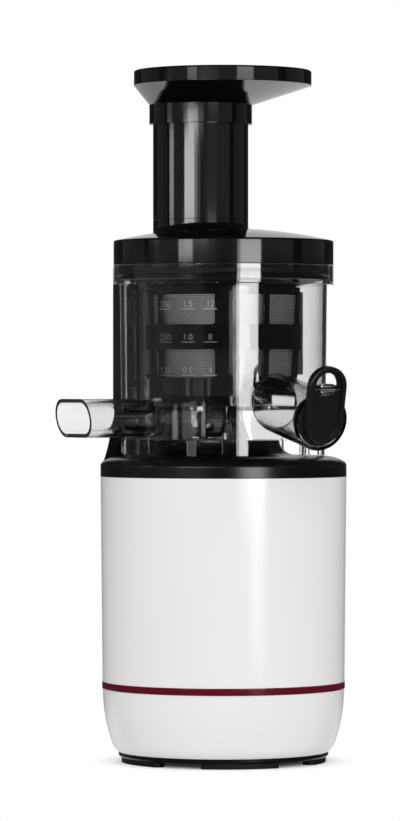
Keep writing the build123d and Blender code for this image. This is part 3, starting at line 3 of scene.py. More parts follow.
import bmesh
import bpy
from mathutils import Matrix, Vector


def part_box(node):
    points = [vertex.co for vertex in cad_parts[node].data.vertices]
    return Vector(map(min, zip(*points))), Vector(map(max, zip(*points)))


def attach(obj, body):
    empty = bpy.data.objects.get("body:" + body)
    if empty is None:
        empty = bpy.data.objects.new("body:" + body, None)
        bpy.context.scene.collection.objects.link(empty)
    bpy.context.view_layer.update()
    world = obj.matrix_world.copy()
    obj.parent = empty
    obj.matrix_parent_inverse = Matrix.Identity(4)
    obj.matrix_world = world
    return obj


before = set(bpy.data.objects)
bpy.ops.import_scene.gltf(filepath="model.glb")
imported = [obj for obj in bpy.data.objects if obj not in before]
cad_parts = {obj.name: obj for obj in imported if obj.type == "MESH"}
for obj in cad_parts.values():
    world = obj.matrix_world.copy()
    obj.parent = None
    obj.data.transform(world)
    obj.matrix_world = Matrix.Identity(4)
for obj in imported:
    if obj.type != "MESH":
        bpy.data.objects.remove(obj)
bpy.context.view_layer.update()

# Foot pads: five curved blocks, each pushed into the base plate by a stud.
# Compression-moulded silicone rubber, dull black, with the dusty grain of an unpolished mould.
MM = 0.001


def linear(hex_colour):
    """sRGB hex to linear RGBA."""
    parts = [int(hex_colour[i:i + 2], 16) / 255 for i in (1, 3, 5)]
    return [c / 12.92 if c <= 0.04045 else ((c + 0.055) / 1.055) ** 2.4 for c in parts] + [1.0]


def per_mm(size_mm):
    """Texture scale that gives a pattern of that real size in object space, which is in metres."""
    return 1 / (size_mm * MM)


def feed(node, inputs):
    """Sets a node's inputs: another node's output is linked, anything else is a value."""
    for socket, value in inputs.items():
        if isinstance(value, bpy.types.NodeSocket):
            node.id_data.links.new(value, node.inputs[socket])
        else:
            node.inputs[socket].default_value = value


def add(tree, kind, inputs, **settings):
    """Adds one node with its settings, values and links, and returns its outputs."""
    node = tree.nodes.new(kind)
    for name, value in settings.items():
        setattr(node, name, value)
    feed(node, inputs)
    return node.outputs


def blank(name):
    """A new material with its node tree and its Principled shader."""
    material = bpy.data.materials.new(name)
    material.use_nodes = True
    return material, material.node_tree, material.node_tree.nodes["Principled BSDF"]


def dress(material, *nodes):
    """Gives CAD nodes that material."""
    for node in nodes:
        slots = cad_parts[node].data.materials
        slots.clear()
        slots.append(material)


def silicone_moulded(name, dark, light):
    # Low gloss, cloudy at hand scale, with a fine mould grain that breaks the highlight
    material, tree, shader = blank(name)
    place = add(tree, "ShaderNodeTexCoord", {})["Object"]
    cloud = add(tree, "ShaderNodeTexNoise", {"Vector": place, "Scale": per_mm(14)})["Fac"]
    dust = add(tree, "ShaderNodeTexNoise", {"Vector": place, "Scale": per_mm(0.5)})["Fac"]
    colour = add(tree, "ShaderNodeMix", {0: cloud, 6: linear(dark), 7: linear(light)}, data_type="RGBA")[2]
    rough = add(tree, "ShaderNodeMapRange", {"Value": cloud, "To Min": 0.48, "To Max": 0.7})["Result"]
    bump = add(tree, "ShaderNodeBump", {"Height": dust, "Distance": 0.02 * MM})["Normal"]
    feed(shader, {"Base Color": colour, "Roughness": rough, "Normal": bump, "IOR": 1.42})
    return material


black_silicone = silicone_moulded("silicone_moulded_black", "#0b0b0b", "#171717")
dress(black_silicone, "feet")


# Base plate: the floor of the machine, with a ring of air slots, screwed up into the housing.
# Black ABS from a spark-eroded tool: a satin skin with a broad soft highlight.
def abs_spark_eroded(name, dark, light):
    material, tree, shader = blank(name)
    place = add(tree, "ShaderNodeTexCoord", {})["Object"]
    cloud = add(tree, "ShaderNodeTexNoise", {"Vector": place, "Scale": per_mm(30)})["Fac"]
    pits = add(tree, "ShaderNodeTexVoronoi", {"Vector": place, "Scale": per_mm(0.6)})["Distance"]
    edge = add(tree, "ShaderNodeBevel", {"Radius": 0.35 * MM}, samples=4)["Normal"]
    colour = add(tree, "ShaderNodeMix", {0: cloud, 6: linear(dark), 7: linear(light)}, data_type="RGBA")[2]
    rough = add(tree, "ShaderNodeMapRange", {"Value": cloud, "To Min": 0.2, "To Max": 0.28})["Result"]
    bump = add(tree, "ShaderNodeBump", {"Height": pits, "Distance": 0.008 * MM, "Normal": edge})["Normal"]
    feed(shader, {"Base Color": colour, "Roughness": rough, "Normal": bump, "IOR": 1.53})
    return material


satin_abs = abs_spark_eroded("abs_spark_eroded_black", "#0a0a0a", "#121213")
dress(satin_abs, "base_plate", "cord_gland", "switch_bezel")


# Base screws: five countersunk screws that hold the plate to the posts of the lower housing.
# Zinc-plated steel, bluish and slightly cloudy. The cross recess in each head is not cut: it is painted
# shade, a thin black cross laid over the head.
CROSS_SPAN = 3.6 * MM
CROSS_WIDTH = 0.9 * MM
CROSS_LIFT = 0.05 * MM
WELD = 0.001 * MM


def zinc_plated():
    material, tree, shader = blank("steel_zinc_plated")
    place = add(tree, "ShaderNodeTexCoord", {})["Object"]
    cloud = add(tree, "ShaderNodeTexNoise", {"Vector": place, "Scale": per_mm(3), "Detail": 4})["Fac"]
    colour = add(tree, "ShaderNodeMix", {0: cloud, 6: linear("#8f9499"), 7: linear("#b9bcbe")},
                 data_type="RGBA")[2]
    rough = add(tree, "ShaderNodeMapRange", {"Value": cloud, "To Min": 0.26, "To Max": 0.42})["Result"]
    feed(shader, {"Base Color": colour, "Roughness": rough, "Metallic": 1.0})
    return material


zinc_steel = zinc_plated()
dress(zinc_steel, "base_screws", "gearbox_screws", "motor_can", "motor_end_cap")


def piece(name, mesh, body, material):
    """A new piece of the object, riding on a body."""
    shape = bpy.data.objects.new(name, mesh)
    bpy.context.scene.collection.objects.link(shape)
    mesh.materials.append(material)
    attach(shape, body)
    return shape


def loose_parts(node):
    """Centres and lowest levels of a node's separate solids, from the frame's mesh."""
    work = bmesh.new()
    work.from_mesh(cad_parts[node].data)
    bmesh.ops.remove_doubles(work, verts=work.verts, dist=WELD)
    left = set(work.verts)
    spots = []
    while left:
        group = {left.pop()}
        edge = set(group)
        while edge:
            near = {e.other_vert(v) for v in edge for e in v.link_edges} & left
            left -= near
            group |= near
            edge = near
        points = [v.co.copy() for v in group]
        middle = sum(points, Vector()) / len(points)
        spots.append(Vector((middle.x, middle.y, min(p.z for p in points))))
    work.free()
    return sorted(spots, key=lambda spot: math.atan2(spot.y, spot.x))


def skin(work, rings):
    """Closed solid through rings of corners: sides from ring to ring and a cap at each end."""
    for first, second in zip(rings, rings[1:]):
        for i in range(len(first)):
            j = (i + 1) % len(first)
            work.faces.new((first[i], first[j], second[j], second[i]))
    work.faces.new(list(reversed(rings[0])))
    work.faces.new(rings[-1])


def finished(work, name):
    """Turns all faces outward and makes the mesh."""
    bmesh.ops.recalc_face_normals(work, faces=work.faces)
    mesh = bpy.data.meshes.new(name)
    work.to_mesh(mesh)
    work.free()
    return mesh


def recess_shade_crosses():
    """A thin cross on the underside of each screw head, all as one mesh, standing as painted shade for a
    cross recess.
    """
    work = bmesh.new()
    half = CROSS_SPAN / 2
    slim = CROSS_WIDTH / 2
    outline = [(half, slim), (slim, slim), (slim, half), (-slim, half), (-slim, slim), (-half, slim),
               (-half, -slim), (-slim, -slim), (-slim, -half), (slim, -half), (slim, -slim), (half, -slim)]
    for spot in loose_parts("base_screws"):
        low = [work.verts.new(spot + Vector((x, y, -CROSS_LIFT))) for x, y in outline]
        high = [work.verts.new(spot + Vector((x, y, CROSS_LIFT))) for x, y in outline]
        skin(work, [low, high])
    return finished(work, "screw_recess_painted_shade")


# The crosses take the black satin ABS: painted shade where each head's recess would lie in shade.
piece("screw_recess_painted_shade", recess_shade_crosses(), "base", satin_abs)


# Filter board: a mains filter on a small upright board, held between two rails of the base plate.
# Green glass-epoxy laminate with two film capacitors in blue epoxy, both with a slight sheen.
BOARD_HEADING = math.radians(36)
BOARD_FACE = 46.1 * MM


def board_laminate():
    material, tree, shader = blank("glass_epoxy_laminate_green")
    outward = (math.cos(BOARD_HEADING), math.sin(BOARD_HEADING), 0)
    place = add(tree, "ShaderNodeTexCoord", {})["Object"]
    depth = add(tree, "ShaderNodeVectorMath", {0: place, 1: outward}, operation="DOT_PRODUCT")["Value"]
    weave = add(tree, "ShaderNodeTexWave", {"Vector": place, "Scale": per_mm(6), "Distortion": 1.5})["Fac"]
    green = add(tree, "ShaderNodeMix", {0: weave, 6: linear("#0d3a22"), 7: linear("#145232")},
                data_type="RGBA")[2]
    epoxy = add(tree, "ShaderNodeMath", {0: depth, 1: BOARD_FACE}, operation="LESS_THAN")["Value"]
    colour = add(tree, "ShaderNodeMix", {0: epoxy, 6: green, 7: linear("#20355c")}, data_type="RGBA")[2]
    rough = add(tree, "ShaderNodeMapRange", {"Value": weave, "To Min": 0.3, "To Max": 0.42})["Result"]
    feed(shader, {"Base Color": colour, "Roughness": rough, "IOR": 1.55})
    return material


dress(board_laminate(), "filter_board")


# Housing: two shells of white ABS from a polished tool, spigoted into each other over the trim ring.
# A hard gloss with a very slight orange peel that bends long reflections a little.
def abs_polished(name, dark, light, rough_low, rough_high):
    material, tree, shader = blank(name)
    place = add(tree, "ShaderNodeTexCoord", {})["Object"]
    cloud = add(tree, "ShaderNodeTexNoise", {"Vector": place, "Scale": per_mm(45)})["Fac"]
    peel = add(tree, "ShaderNodeTexNoise", {"Vector": place, "Scale": per_mm(4), "Detail": 1})["Fac"]
    edge = add(tree, "ShaderNodeBevel", {"Radius": 0.4 * MM}, samples=4)["Normal"]
    colour = add(tree, "ShaderNodeMix", {0: cloud, 6: linear(dark), 7: linear(light)}, data_type="RGBA")[2]
    rough = add(tree, "ShaderNodeMapRange", {"Value": cloud, "To Min": rough_low,
                                             "To Max": rough_high})["Result"]
    bump = add(tree, "ShaderNodeBump", {"Height": peel, "Distance": 0.004 * MM, "Normal": edge})["Normal"]
    feed(shader, {"Base Color": colour, "Roughness": rough, "Normal": bump, "IOR": 1.53})
    return material


white_abs = abs_polished("abs_polished_white", "#ececeb", "#f0f0ef", 0.12, 0.2)
dress(white_abs, "lower_housing", "main_housing")


# Trim ring: a burgundy band snapped over the tongue between the two shells.
# The same polished ABS, coloured through, with a soft line of light along its rounded edges.
burgundy_abs = abs_polished("abs_polished_burgundy", "#58091d", "#640d23", 0.1, 0.16)
dress(burgundy_abs, "trim_ring")


# Rocker switch: a dished three-position rocker in its bezel on the back of the housing.
# Black ABS from a mirror-polished tool, so that nearly all that shows is reflection.
gloss_abs = abs_polished("abs_polished_black", "#070707", "#0a0a0a", 0.05, 0.1)
dress(gloss_abs, "rocker_switch")


# Rocker marks: a bar for on, a ring for off and a dot for reverse, pad-printed in white ink.
# The ink is thin and matt, slightly uneven where the pad lifted.
MARK_STEP = 7.0 * MM
MARK_H = 3.2 * MM
MARK_LINE = 0.6 * MM
INK_T = 0.03 * MM
RING_STEPS = 32
PROBE_GAP = 10.0 * MM


def pad_ink():
    material, tree, shader = blank("ink_pad_printed_white")
    place = add(tree, "ShaderNodeTexCoord", {})["Object"]
    speck = add(tree, "ShaderNodeTexNoise", {"Vector": place, "Scale": per_mm(0.4)})["Fac"]
    colour = add(tree, "ShaderNodeMix", {0: speck, 6: linear("#c9c9c7"), 7: linear("#efefed")},
                 data_type="RGBA")[2]
    feed(shader, {"Base Color": colour, "Roughness": 0.55})
    return material


def ring_outline(outer, inner):
    """Quads of a flat ring, or of a disc with no hole when the inner radius is 0."""
    turn = [2 * math.pi * i / RING_STEPS for i in range(RING_STEPS)]
    if not inner:
        return [[(outer * math.cos(a), outer * math.sin(a)) for a in turn]]
    quads = []
    for first, second in zip(turn, turn[1:] + turn[:1]):
        spots = ((outer, first), (outer, second), (inner, second), (inner, first))
        quads.append([(r * math.cos(a), r * math.sin(a)) for r, a in spots])
    return quads


def printed(name, outlines, onto):
    """Thin closed ink film: each flat outline is carried onto a surface by onto(x, y, lift)."""
    work = bmesh.new()
    for outline in outlines:
        low = [work.verts.new(onto(x, y, 0)) for x, y in outline]
        high = [work.verts.new(onto(x, y, INK_T)) for x, y in outline]
        skin(work, [low, high])
    bmesh.ops.remove_doubles(work, verts=work.verts, dist=WELD)
    inner = [face for face in work.faces if all(len(edge.link_faces) > 2 for edge in face.edges)]
    bmesh.ops.delete(work, geom=inner, context="FACES_ONLY")
    return finished(work, name)


def onto_rocker(x, z, lift):
    """Point on the rocker's dished face, x to the right as seen from behind, z from its middle."""
    low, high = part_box("rocker_switch")
    start = Vector((-x, high[1] + PROBE_GAP, (low[2] + high[2]) / 2 + z))
    hit, spot, normal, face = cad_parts["rocker_switch"].ray_cast(start, Vector((0, -1, 0)))
    return spot + Vector((0, lift, 0))


bar = [[(-MARK_LINE / 2, MARK_STEP - MARK_H / 2), (MARK_LINE / 2, MARK_STEP - MARK_H / 2),
        (MARK_LINE / 2, MARK_STEP + MARK_H / 2), (-MARK_LINE / 2, MARK_STEP + MARK_H / 2)]]
off_ring = ring_outline(MARK_H / 2, MARK_H / 2 - MARK_LINE)
dot = [[(x, y - MARK_STEP) for x, y in outline] for outline in ring_outline(MARK_LINE, 0)]
marks = printed("rocker_marks", bar + off_ring + dot, onto_rocker)
piece("rocker_marks", marks, "rocker", pad_ink())


# Motor magnets and the lid's magnet: pressed and sintered blocks, bonded in place.
# Ferrite is a matt charcoal ceramic with a fine granular face.
def ferrite_sintered():
    material, tree, shader = blank("ferrite_sintered_charcoal")
    place = add(tree, "ShaderNodeTexCoord", {})["Object"]
    grit = add(tree, "ShaderNodeTexNoise", {"Vector": place, "Scale": per_mm(0.7), "Detail": 3})["Fac"]
    colour = add(tree, "ShaderNodeMix", {0: grit, 6: linear("#222224"), 7: linear("#3a3a3c")},
                 data_type="RGBA")[2]
    bump = add(tree, "ShaderNodeBump", {"Height": grit, "Distance": 0.03 * MM})["Normal"]
    feed(shader, {"Base Color": colour, "Roughness": 0.72, "Normal": bump})
    return material


ferrite = ferrite_sintered()
dress(ferrite, "motor_magnets", "lid_magnet")


# Brushes: two carbon blocks that slide in the end cap's boxes and press on the commutator.
# Pressed graphite, dark grey with a faint metallic streak along the sliding direction.
def graphite_pressed():
    material, tree, shader = blank("graphite_pressed")
    place = add(tree, "ShaderNodeTexCoord", {})["Object"]
    along = add(tree, "ShaderNodeMapping", {"Vector": place, "Scale": (0.15, 1, 1)})["Vector"]
    streak = add(tree, "ShaderNodeTexNoise", {"Vector": along, "Scale": per_mm(0.5)})["Fac"]
    colour = add(tree, "ShaderNodeMix", {0: streak, 6: linear("#1c1c1e"), 7: linear("#444448")},
                 data_type="RGBA")[2]
    feed(shader, {"Base Color": colour, "Roughness": 0.5, "Metallic": 0.3})
    return material


dress(graphite_pressed(), "carbon_brushes")


# Shafts, axle, pins and bearings: bar steel turned on a lathe and pressed or run in its seats.
# Turning leaves fine rings round the axis, which draw the highlight into thin bands.
def steel_turned():
    material, tree, shader = blank("steel_turned")
    place = add(tree, "ShaderNodeTexCoord", {})["Object"]
    along = add(tree, "ShaderNodeMapping", {"Vector": place, "Scale": (0.02, 0.02, 1)})["Vector"]
    rings = add(tree, "ShaderNodeTexNoise", {"Vector": along, "Scale": per_mm(0.4), "Detail": 2})["Fac"]
    colour = add(tree, "ShaderNodeMix", {0: rings, 6: linear("#8d8f92"), 7: linear("#bfc1c4")},
                 data_type="RGBA")[2]
    rough = add(tree, "ShaderNodeMapRange", {"Value": rings, "To Min": 0.18, "To Max": 0.34})["Result"]
    bump = add(tree, "ShaderNodeBump", {"Height": rings, "Distance": 0.01 * MM})["Normal"]
    feed(shader, {"Base Color": colour, "Roughness": rough, "Normal": bump, "Metallic": 1.0})
    return material


turned_steel = steel_turned()
dress(turned_steel, "motor_bearings", "motor_shaft", "intermediate_axle", "drive_shaft")
dress(turned_steel, "lower_bearing", "upper_bearing")


# Rotor core: half-millimetre sheets of silicon steel, stacked and varnished, pressed on the shaft.
# The edge of the stack is finely banded, drawn at one millimetre a sheet so that the bands show.
def steel_laminated():
    material, tree, shader = blank("silicon_steel_laminated")
    place = add(tree, "ShaderNodeTexCoord", {})["Object"]
    sheets = add(tree, "ShaderNodeTexWave", {"Vector": place, "Scale": per_mm(1) / math.tau},
                 bands_direction="Z")["Fac"]
    colour = add(tree, "ShaderNodeMix", {0: sheets, 6: linear("#4a4540"), 7: linear("#8a8784")},
                 data_type="RGBA")[2]
    bump = add(tree, "ShaderNodeBump", {"Height": sheets, "Distance": 0.05 * MM})["Normal"]
    feed(shader, {"Base Color": colour, "Roughness": 0.4, "Normal": bump, "Metallic": 0.8})
    return material


dress(steel_laminated(), "rotor_core")


# Commutator: copper bars round a moulded hub, turned true, with undercut slots between the bars.
# Bright copper with dark slots, worn to a brown film where the brushes run.
COMMUTATOR_BARS = 24
SLOT_SHARE = 0.12


def copper_bars():
    material, tree, shader = blank("copper_turned_segments")
    place = add(tree, "ShaderNodeTexCoord", {})["Object"]
    axes = add(tree, "ShaderNodeSeparateXYZ", {"Vector": place})
    angle = add(tree, "ShaderNodeMath", {0: axes["Y"], 1: axes["X"]}, operation="ARCTAN2")["Value"]
    count = add(tree, "ShaderNodeMath", {0: angle, 1: COMMUTATOR_BARS / math.tau},
                operation="MULTIPLY")["Value"]
    share = add(tree, "ShaderNodeMath", {0: count}, operation="FRACT")["Value"]
    slot = add(tree, "ShaderNodeMath", {0: share, 1: SLOT_SHARE}, operation="LESS_THAN")["Value"]
    film = add(tree, "ShaderNodeTexNoise", {"Vector": place, "Scale": per_mm(2)})["Fac"]
    bars = add(tree, "ShaderNodeMix", {0: film, 6: linear("#8a4a2a"), 7: linear("#c27b4e")},
               data_type="RGBA")[2]
    colour = add(tree, "ShaderNodeMix", {0: slot, 6: bars, 7: linear("#1a120e")}, data_type="RGBA")[2]
    feed(shader, {"Base Color": colour, "Roughness": 0.3, "Metallic": 1.0})
    return material


dress(copper_bars(), "commutator")


# Gears and fan: moulded acetal, pressed on their shafts or running on steel pins.
# Natural acetal is ivory, waxy and a little translucent, with a soft sheen.
def acetal_moulded():
    material, tree, shader = blank("acetal_moulded_natural")
    place = add(tree, "ShaderNodeTexCoord", {})["Object"]
    cloud = add(tree, "ShaderNodeTexNoise", {"Vector": place, "Scale": per_mm(8)})["Fac"]
    colour = add(tree, "ShaderNodeMix", {0: cloud, 6: linear("#dcd9d0"), 7: linear("#e8e6de")},
                 data_type="RGBA")[2]
    rough = add(tree, "ShaderNodeMapRange", {"Value": cloud, "To Min": 0.3, "To Max": 0.42})["Result"]
    feed(shader, {"Base Color": colour, "Roughness": rough, "IOR": 1.48, "Subsurface Weight": 0.1,
                  "Subsurface Radius": (1.0 * MM, 0.9 * MM, 0.7 * MM)})
    return material


acetal = acetal_moulded()
dress(acetal, "cooling_fan", "motor_pinion", "intermediate_gear", "output_gear", "idler_gear")


# Gearbox: a die-cast case on the housing's ledge, with a cover that holds the lower shaft bearing.
# Cast aluminium as it leaves the die: pale grey, with a soft flow pattern and a dry sheen.
def aluminium_die_cast():
    material, tree, shader = blank("aluminium_die_cast")
    place = add(tree, "ShaderNodeTexCoord", {})["Object"]
    flow = add(tree, "ShaderNodeTexNoise", {"Vector": place, "Scale": per_mm(12), "Detail": 5,
                                            "Distortion": 1.2})["Fac"]
    skin = add(tree, "ShaderNodeTexNoise", {"Vector": place, "Scale": per_mm(0.6)})["Fac"]
    colour = add(tree, "ShaderNodeMix", {0: flow, 6: linear("#85878a"), 7: linear("#aeb0b2")},
                 data_type="RGBA")[2]
    rough = add(tree, "ShaderNodeMapRange", {"Value": flow, "To Min": 0.42, "To Max": 0.6})["Result"]
    bump = add(tree, "ShaderNodeBump", {"Height": skin, "Distance": 0.03 * MM})["Normal"]
    feed(shader, {"Base Color": colour, "Roughness": rough, "Normal": bump, "Metallic": 1.0})
    return material


dress(aluminium_die_cast(), "gearbox_case", "gearbox_cover")


# Top cover and rear column: the deck that carries the bowl, and the post that rises behind it.
# The same spark-eroded black ABS as the base plate. The column's cover snaps in from behind.
dress(satin_abs, "top_cover", "rear_column", "column_cover")


# Lid sensor and shaft seal: a reed switch potted in epoxy inside the column, and a lip seal in the deck.
# Both are black and dull, with no more sheen than the feet.
dress(black_silicone, "interlock_sensor", "shaft_seal")


# Bowl: clear copolyester with its juice spout and pulp tube bonded on.
# Water-clear, with faint flow lines from moulding that make what lies behind it swim a little.
def copolyester_moulded():
    material, tree, shader = blank("copolyester_moulded_clear")
    place = add(tree, "ShaderNodeTexCoord", {})["Object"]
    flow = add(tree, "ShaderNodeTexNoise", {"Vector": place, "Scale": per_mm(11), "Detail": 1})["Fac"]
    edge = add(tree, "ShaderNodeBevel", {"Radius": 0.5 * MM}, samples=4)["Normal"]
    bump = add(tree, "ShaderNodeBump", {"Height": flow, "Distance": 0.02 * MM, "Normal": edge})["Normal"]
    feed(shader, {"Base Color": linear("#f7f7f7"), "Roughness": 0.02, "Normal": bump, "IOR": 1.55,
                  "Transmission Weight": 1.0})
    return material


clear_bowl = copolyester_moulded()
dress(clear_bowl, "bowl", "juice_spout", "pulp_tube")


# Measuring scale: ticks and plain numbers in three columns on the front of the bowl.
# They stand a hair proud of the clear wall and are etched in the tool, so they look frosted.
SCALE_LEVELS = (274.5 * MM, 254.7 * MM, 234.9 * MM)
SCALE_COLUMNS = ((208.4, ("350", "250", "125")), (222.1, ("1.5", "1.0", "0.5")), (234.8, ("12", "8", "4")))
TICK_W = 8.0 * MM
TICK_H = 0.6 * MM
FIGURE_H = 5.2 * MM
FIGURE_LIFT = 1.6 * MM
FIGURE_T = 0.1 * MM
TICK_STEPS = 8
PROBE_START = 200.0 * MM


def frosted_marks():
    material, tree, shader = blank("copolyester_etched_frosted")
    place = add(tree, "ShaderNodeTexCoord", {})["Object"]
    frost = add(tree, "ShaderNodeTexNoise", {"Vector": place, "Scale": per_mm(0.3)})["Fac"]
    rough = add(tree, "ShaderNodeMapRange", {"Value": frost, "To Min": 0.22, "To Max": 0.36})["Result"]
    feed(shader, {"Base Color": linear("#e4e6e7"), "Roughness": rough, "IOR": 1.55,
                  "Transmission Weight": 0.975})
    return material


def onto_bowl(heading, height, lift):
    """Point on the bowl's outside at a compass heading in radians and a height, raised by lift."""
    out = Vector((math.cos(heading), math.sin(heading), 0))
    start = out * PROBE_START + Vector((0, 0, height))
    hit, spot, normal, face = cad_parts["bowl"].ray_cast(start, -out)
    return spot + out * lift


def figure(text):
    """Thin flat mesh of a number, with its foot and its middle at 0."""
    curve = bpy.data.curves.new("figure", "FONT")
    curve.body = text
    curve.size = FIGURE_H
    curve.align_x = "CENTER"
    curve.extrude = FIGURE_T / 2
    shape = bpy.data.objects.new("figure", curve)
    mesh = bpy.data.meshes.new_from_object(shape)
    bpy.data.objects.remove(shape)
    bpy.data.curves.remove(curve)
    return mesh


def measuring_scale():
    """All ticks and numbers as one mesh, wrapped on the bowl's wall."""
    work = bmesh.new()
    for heading_deg, numbers in SCALE_COLUMNS:
        for level, number in zip(SCALE_LEVELS, numbers):
            middle = math.radians(heading_deg)
            radius = onto_bowl(middle, level, 0).xy.length
            flat = figure(number)
            for vertex in flat.vertices:
                x, y, z = vertex.co
                vertex.co = onto_bowl(middle + x / radius, level + FIGURE_LIFT + y, z + FIGURE_T / 2)
            work.from_mesh(flat)
            bpy.data.meshes.remove(flat)
            rings = []
            for i in range(TICK_STEPS + 1):
                heading = middle + (i / TICK_STEPS - 0.5) * TICK_W / radius
                spots = ((0, 0), (TICK_H, 0), (TICK_H, FIGURE_T), (0, FIGURE_T))
                rings.append([work.verts.new(onto_bowl(heading, level + y, lift)) for y, lift in spots])
            skin(work, rings)
    bmesh.ops.remove_doubles(work, verts=work.verts, dist=WELD)
    return finished(work, "measuring_scale")


piece("measuring_scale", measuring_scale(), "bowl", frosted_marks())


# Bowl and lid seals and the drip plug: the soft parts that keep the juice in.
# Moulded black silicone, stretched into grooves or over the lever's neck.
dress(black_silicone, "bowl_seal", "lid_seal", "drip_plug")


# Drip lever: a finger lever with a loop, hung on a steel pin in the lug over the spout's mouth.
# Spark-eroded charcoal ABS, with a raised rim round a sunk panel.
dress(abs_spark_eroded("abs_spark_eroded_charcoal", "#131314", "#191a1b"), "drip_lever")
dress(turned_steel, "lever_pin", "idler_pin")


# Strainer frame, wiper basket and auger: black food-grade polymer from a polished tool, glossy when clean.
# The frame is moulded round the steel sheet; the basket turns between it and the bowl.
def polymer_moulded():
    material, tree, shader = blank("polymer_moulded_black")
    place = add(tree, "ShaderNodeTexCoord", {})["Object"]
    cloud = add(tree, "ShaderNodeTexNoise", {"Vector": place, "Scale": per_mm(20)})["Fac"]
    skin = add(tree, "ShaderNodeTexNoise", {"Vector": place, "Scale": per_mm(0.8)})["Fac"]
    colour = add(tree, "ShaderNodeMix", {0: cloud, 6: linear("#070707"), 7: linear("#0c0c0d")},
                 data_type="RGBA")[2]
    rough = add(tree, "ShaderNodeMapRange", {"Value": cloud, "To Min": 0.05, "To Max": 0.1})["Result"]
    bump = add(tree, "ShaderNodeBump", {"Height": skin, "Distance": 0.003 * MM})["Normal"]
    feed(shader, {"Base Color": colour, "Roughness": rough, "Normal": bump, "IOR": 1.53})
    return material


dress(polymer_moulded(), "strainer_frame", "strainer_plate", "wiper_basket", "auger_screw")
dress(turned_steel, "auger_drive_insert")


# Strainer sheet: stainless sheet with rows of staggered punched holes, rolled to a cone and moulded in.
# Bright grey metal with dark dots, drawn at a pitch just wide enough for the dots to show.
HOLE_PITCH = 1.25
HOLE_SHARE = 0.3
HOLE_EDGE = 0.05
ROW_SHARE = math.sqrt(3) / 2


def stainless_perforated():
    material, tree, shader = blank("stainless_perforated")
    low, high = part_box("strainer_mesh")
    radius_mm = (high[0] - low[0]) / 2 / MM
    place = add(tree, "ShaderNodeTexCoord", {})["Object"]
    axes = add(tree, "ShaderNodeSeparateXYZ", {"Vector": place})
    angle = add(tree, "ShaderNodeMath", {0: axes["Y"], 1: axes["X"]}, operation="ARCTAN2")["Value"]
    column = add(tree, "ShaderNodeMath", {0: angle, 1: radius_mm / HOLE_PITCH},
                 operation="MULTIPLY")["Value"]
    row = add(tree, "ShaderNodeMath", {0: axes["Z"], 1: per_mm(HOLE_PITCH * ROW_SHARE)},
              operation="MULTIPLY")["Value"]
    whole = add(tree, "ShaderNodeMath", {0: row}, operation="FLOOR")["Value"]
    half = add(tree, "ShaderNodeMath", {0: whole, 1: 0.5}, operation="MULTIPLY")["Value"]
    stagger = add(tree, "ShaderNodeMath", {0: column, 1: half}, operation="ADD")["Value"]
    across = add(tree, "ShaderNodeMath", {0: stagger, 1: 1}, operation="FLOORED_MODULO")["Value"]
    up = add(tree, "ShaderNodeMath", {0: row, 1: 1}, operation="FLOORED_MODULO")["Value"]
    cell = add(tree, "ShaderNodeCombineXYZ", {"X": across, "Y": up})["Vector"]
    centred = add(tree, "ShaderNodeVectorMath", {0: cell, 1: (0.5, 0.5, 0)}, operation="SUBTRACT")["Vector"]
    round_cell = add(tree, "ShaderNodeVectorMath", {0: centred, 1: (1, ROW_SHARE, 0)},
                     operation="MULTIPLY")["Vector"]
    far = add(tree, "ShaderNodeVectorMath", {0: round_cell}, operation="LENGTH")["Value"]
    sheet = add(tree, "ShaderNodeMapRange", {"Value": far, "From Min": HOLE_SHARE - HOLE_EDGE,
                                             "From Max": HOLE_SHARE + HOLE_EDGE})["Result"]
    colour = add(tree, "ShaderNodeMix", {0: sheet, 6: linear("#1d1d1d"), 7: linear("#bcbcbb")},
                 data_type="RGBA")[2]
    rough = add(tree, "ShaderNodeMapRange", {"Value": sheet, "To Min": 0.9, "To Max": 0.42})["Result"]
    bump = add(tree, "ShaderNodeBump", {"Height": sheet, "Distance": 0.15 * MM})["Normal"]
    feed(shader, {"Base Color": colour, "Roughness": rough, "Normal": bump, "Metallic": 0.7})
    return material


dress(stainless_perforated(), "strainer_mesh")


# Wipers: soft blades pressed into slots in the basket's posts, which sweep the strainer.
# Moulded silicone in mid grey, as dull as the feet and a little cloudy.
dress(silicone_moulded("silicone_moulded_grey", "#4a4b4e", "#5a5b5e"), "silicone_wipers")


# Lid, feed tube and interlock tab: the cover that drops on the bowl, with the chute standing on it.
# Mirror-polished black ABS, bonded together, so that their form shows by its reflections.
dress(gloss_abs, "lid", "feed_tube", "interlock_tab")


# Auger bush: a sintered bronze ring pressed into the lid's hub, where the auger's pin turns.
# Oiled bronze, brown-gold and slightly porous.
def bronze_sintered():
    material, tree, shader = blank("bronze_sintered")
    place = add(tree, "ShaderNodeTexCoord", {})["Object"]
    pores = add(tree, "ShaderNodeTexNoise", {"Vector": place, "Scale": per_mm(0.4), "Detail": 3})["Fac"]
    colour = add(tree, "ShaderNodeMix", {0: pores, 6: linear("#7a5a30"), 7: linear("#b08a50")},
                 data_type="RGBA")[2]
    bump = add(tree, "ShaderNodeBump", {"Height": pores, "Distance": 0.02 * MM})["Normal"]
    feed(shader, {"Base Color": colour, "Roughness": 0.42, "Normal": bump, "Metallic": 1.0})
    return material


dress(bronze_sintered(), "auger_bush")


# Feed tray: a loading dish whose collar drops over the feed tube.
# The same mirror-polished black ABS as the lid, moulded in one.
dress(gloss_abs, "feed_tray")


# Studio floor: white paper that runs out into the white backdrop.
# Near the machine it takes a faint contact shadow; further out it glows as the backdrop does.
FLOOR_R = 6.0
FLOOR_SIDES = 128
SHADOW_START = 0.045
SHADOW_END = 0.085
FLOOR_BOUNCE = 0.8
FLOOR_MIRRORED = 0.3


def bounces(tree):
    """Whether the light on its way to the camera was mirrored, and whether it was scattered."""
    path = add(tree, "ShaderNodeLightPath", {})
    counts = (path["Glossy Depth"], path["Diffuse Depth"])
    return [add(tree, "ShaderNodeMath", {0: count, 1: 0.5}, operation="GREATER_THAN")["Value"]
            for count in counts]


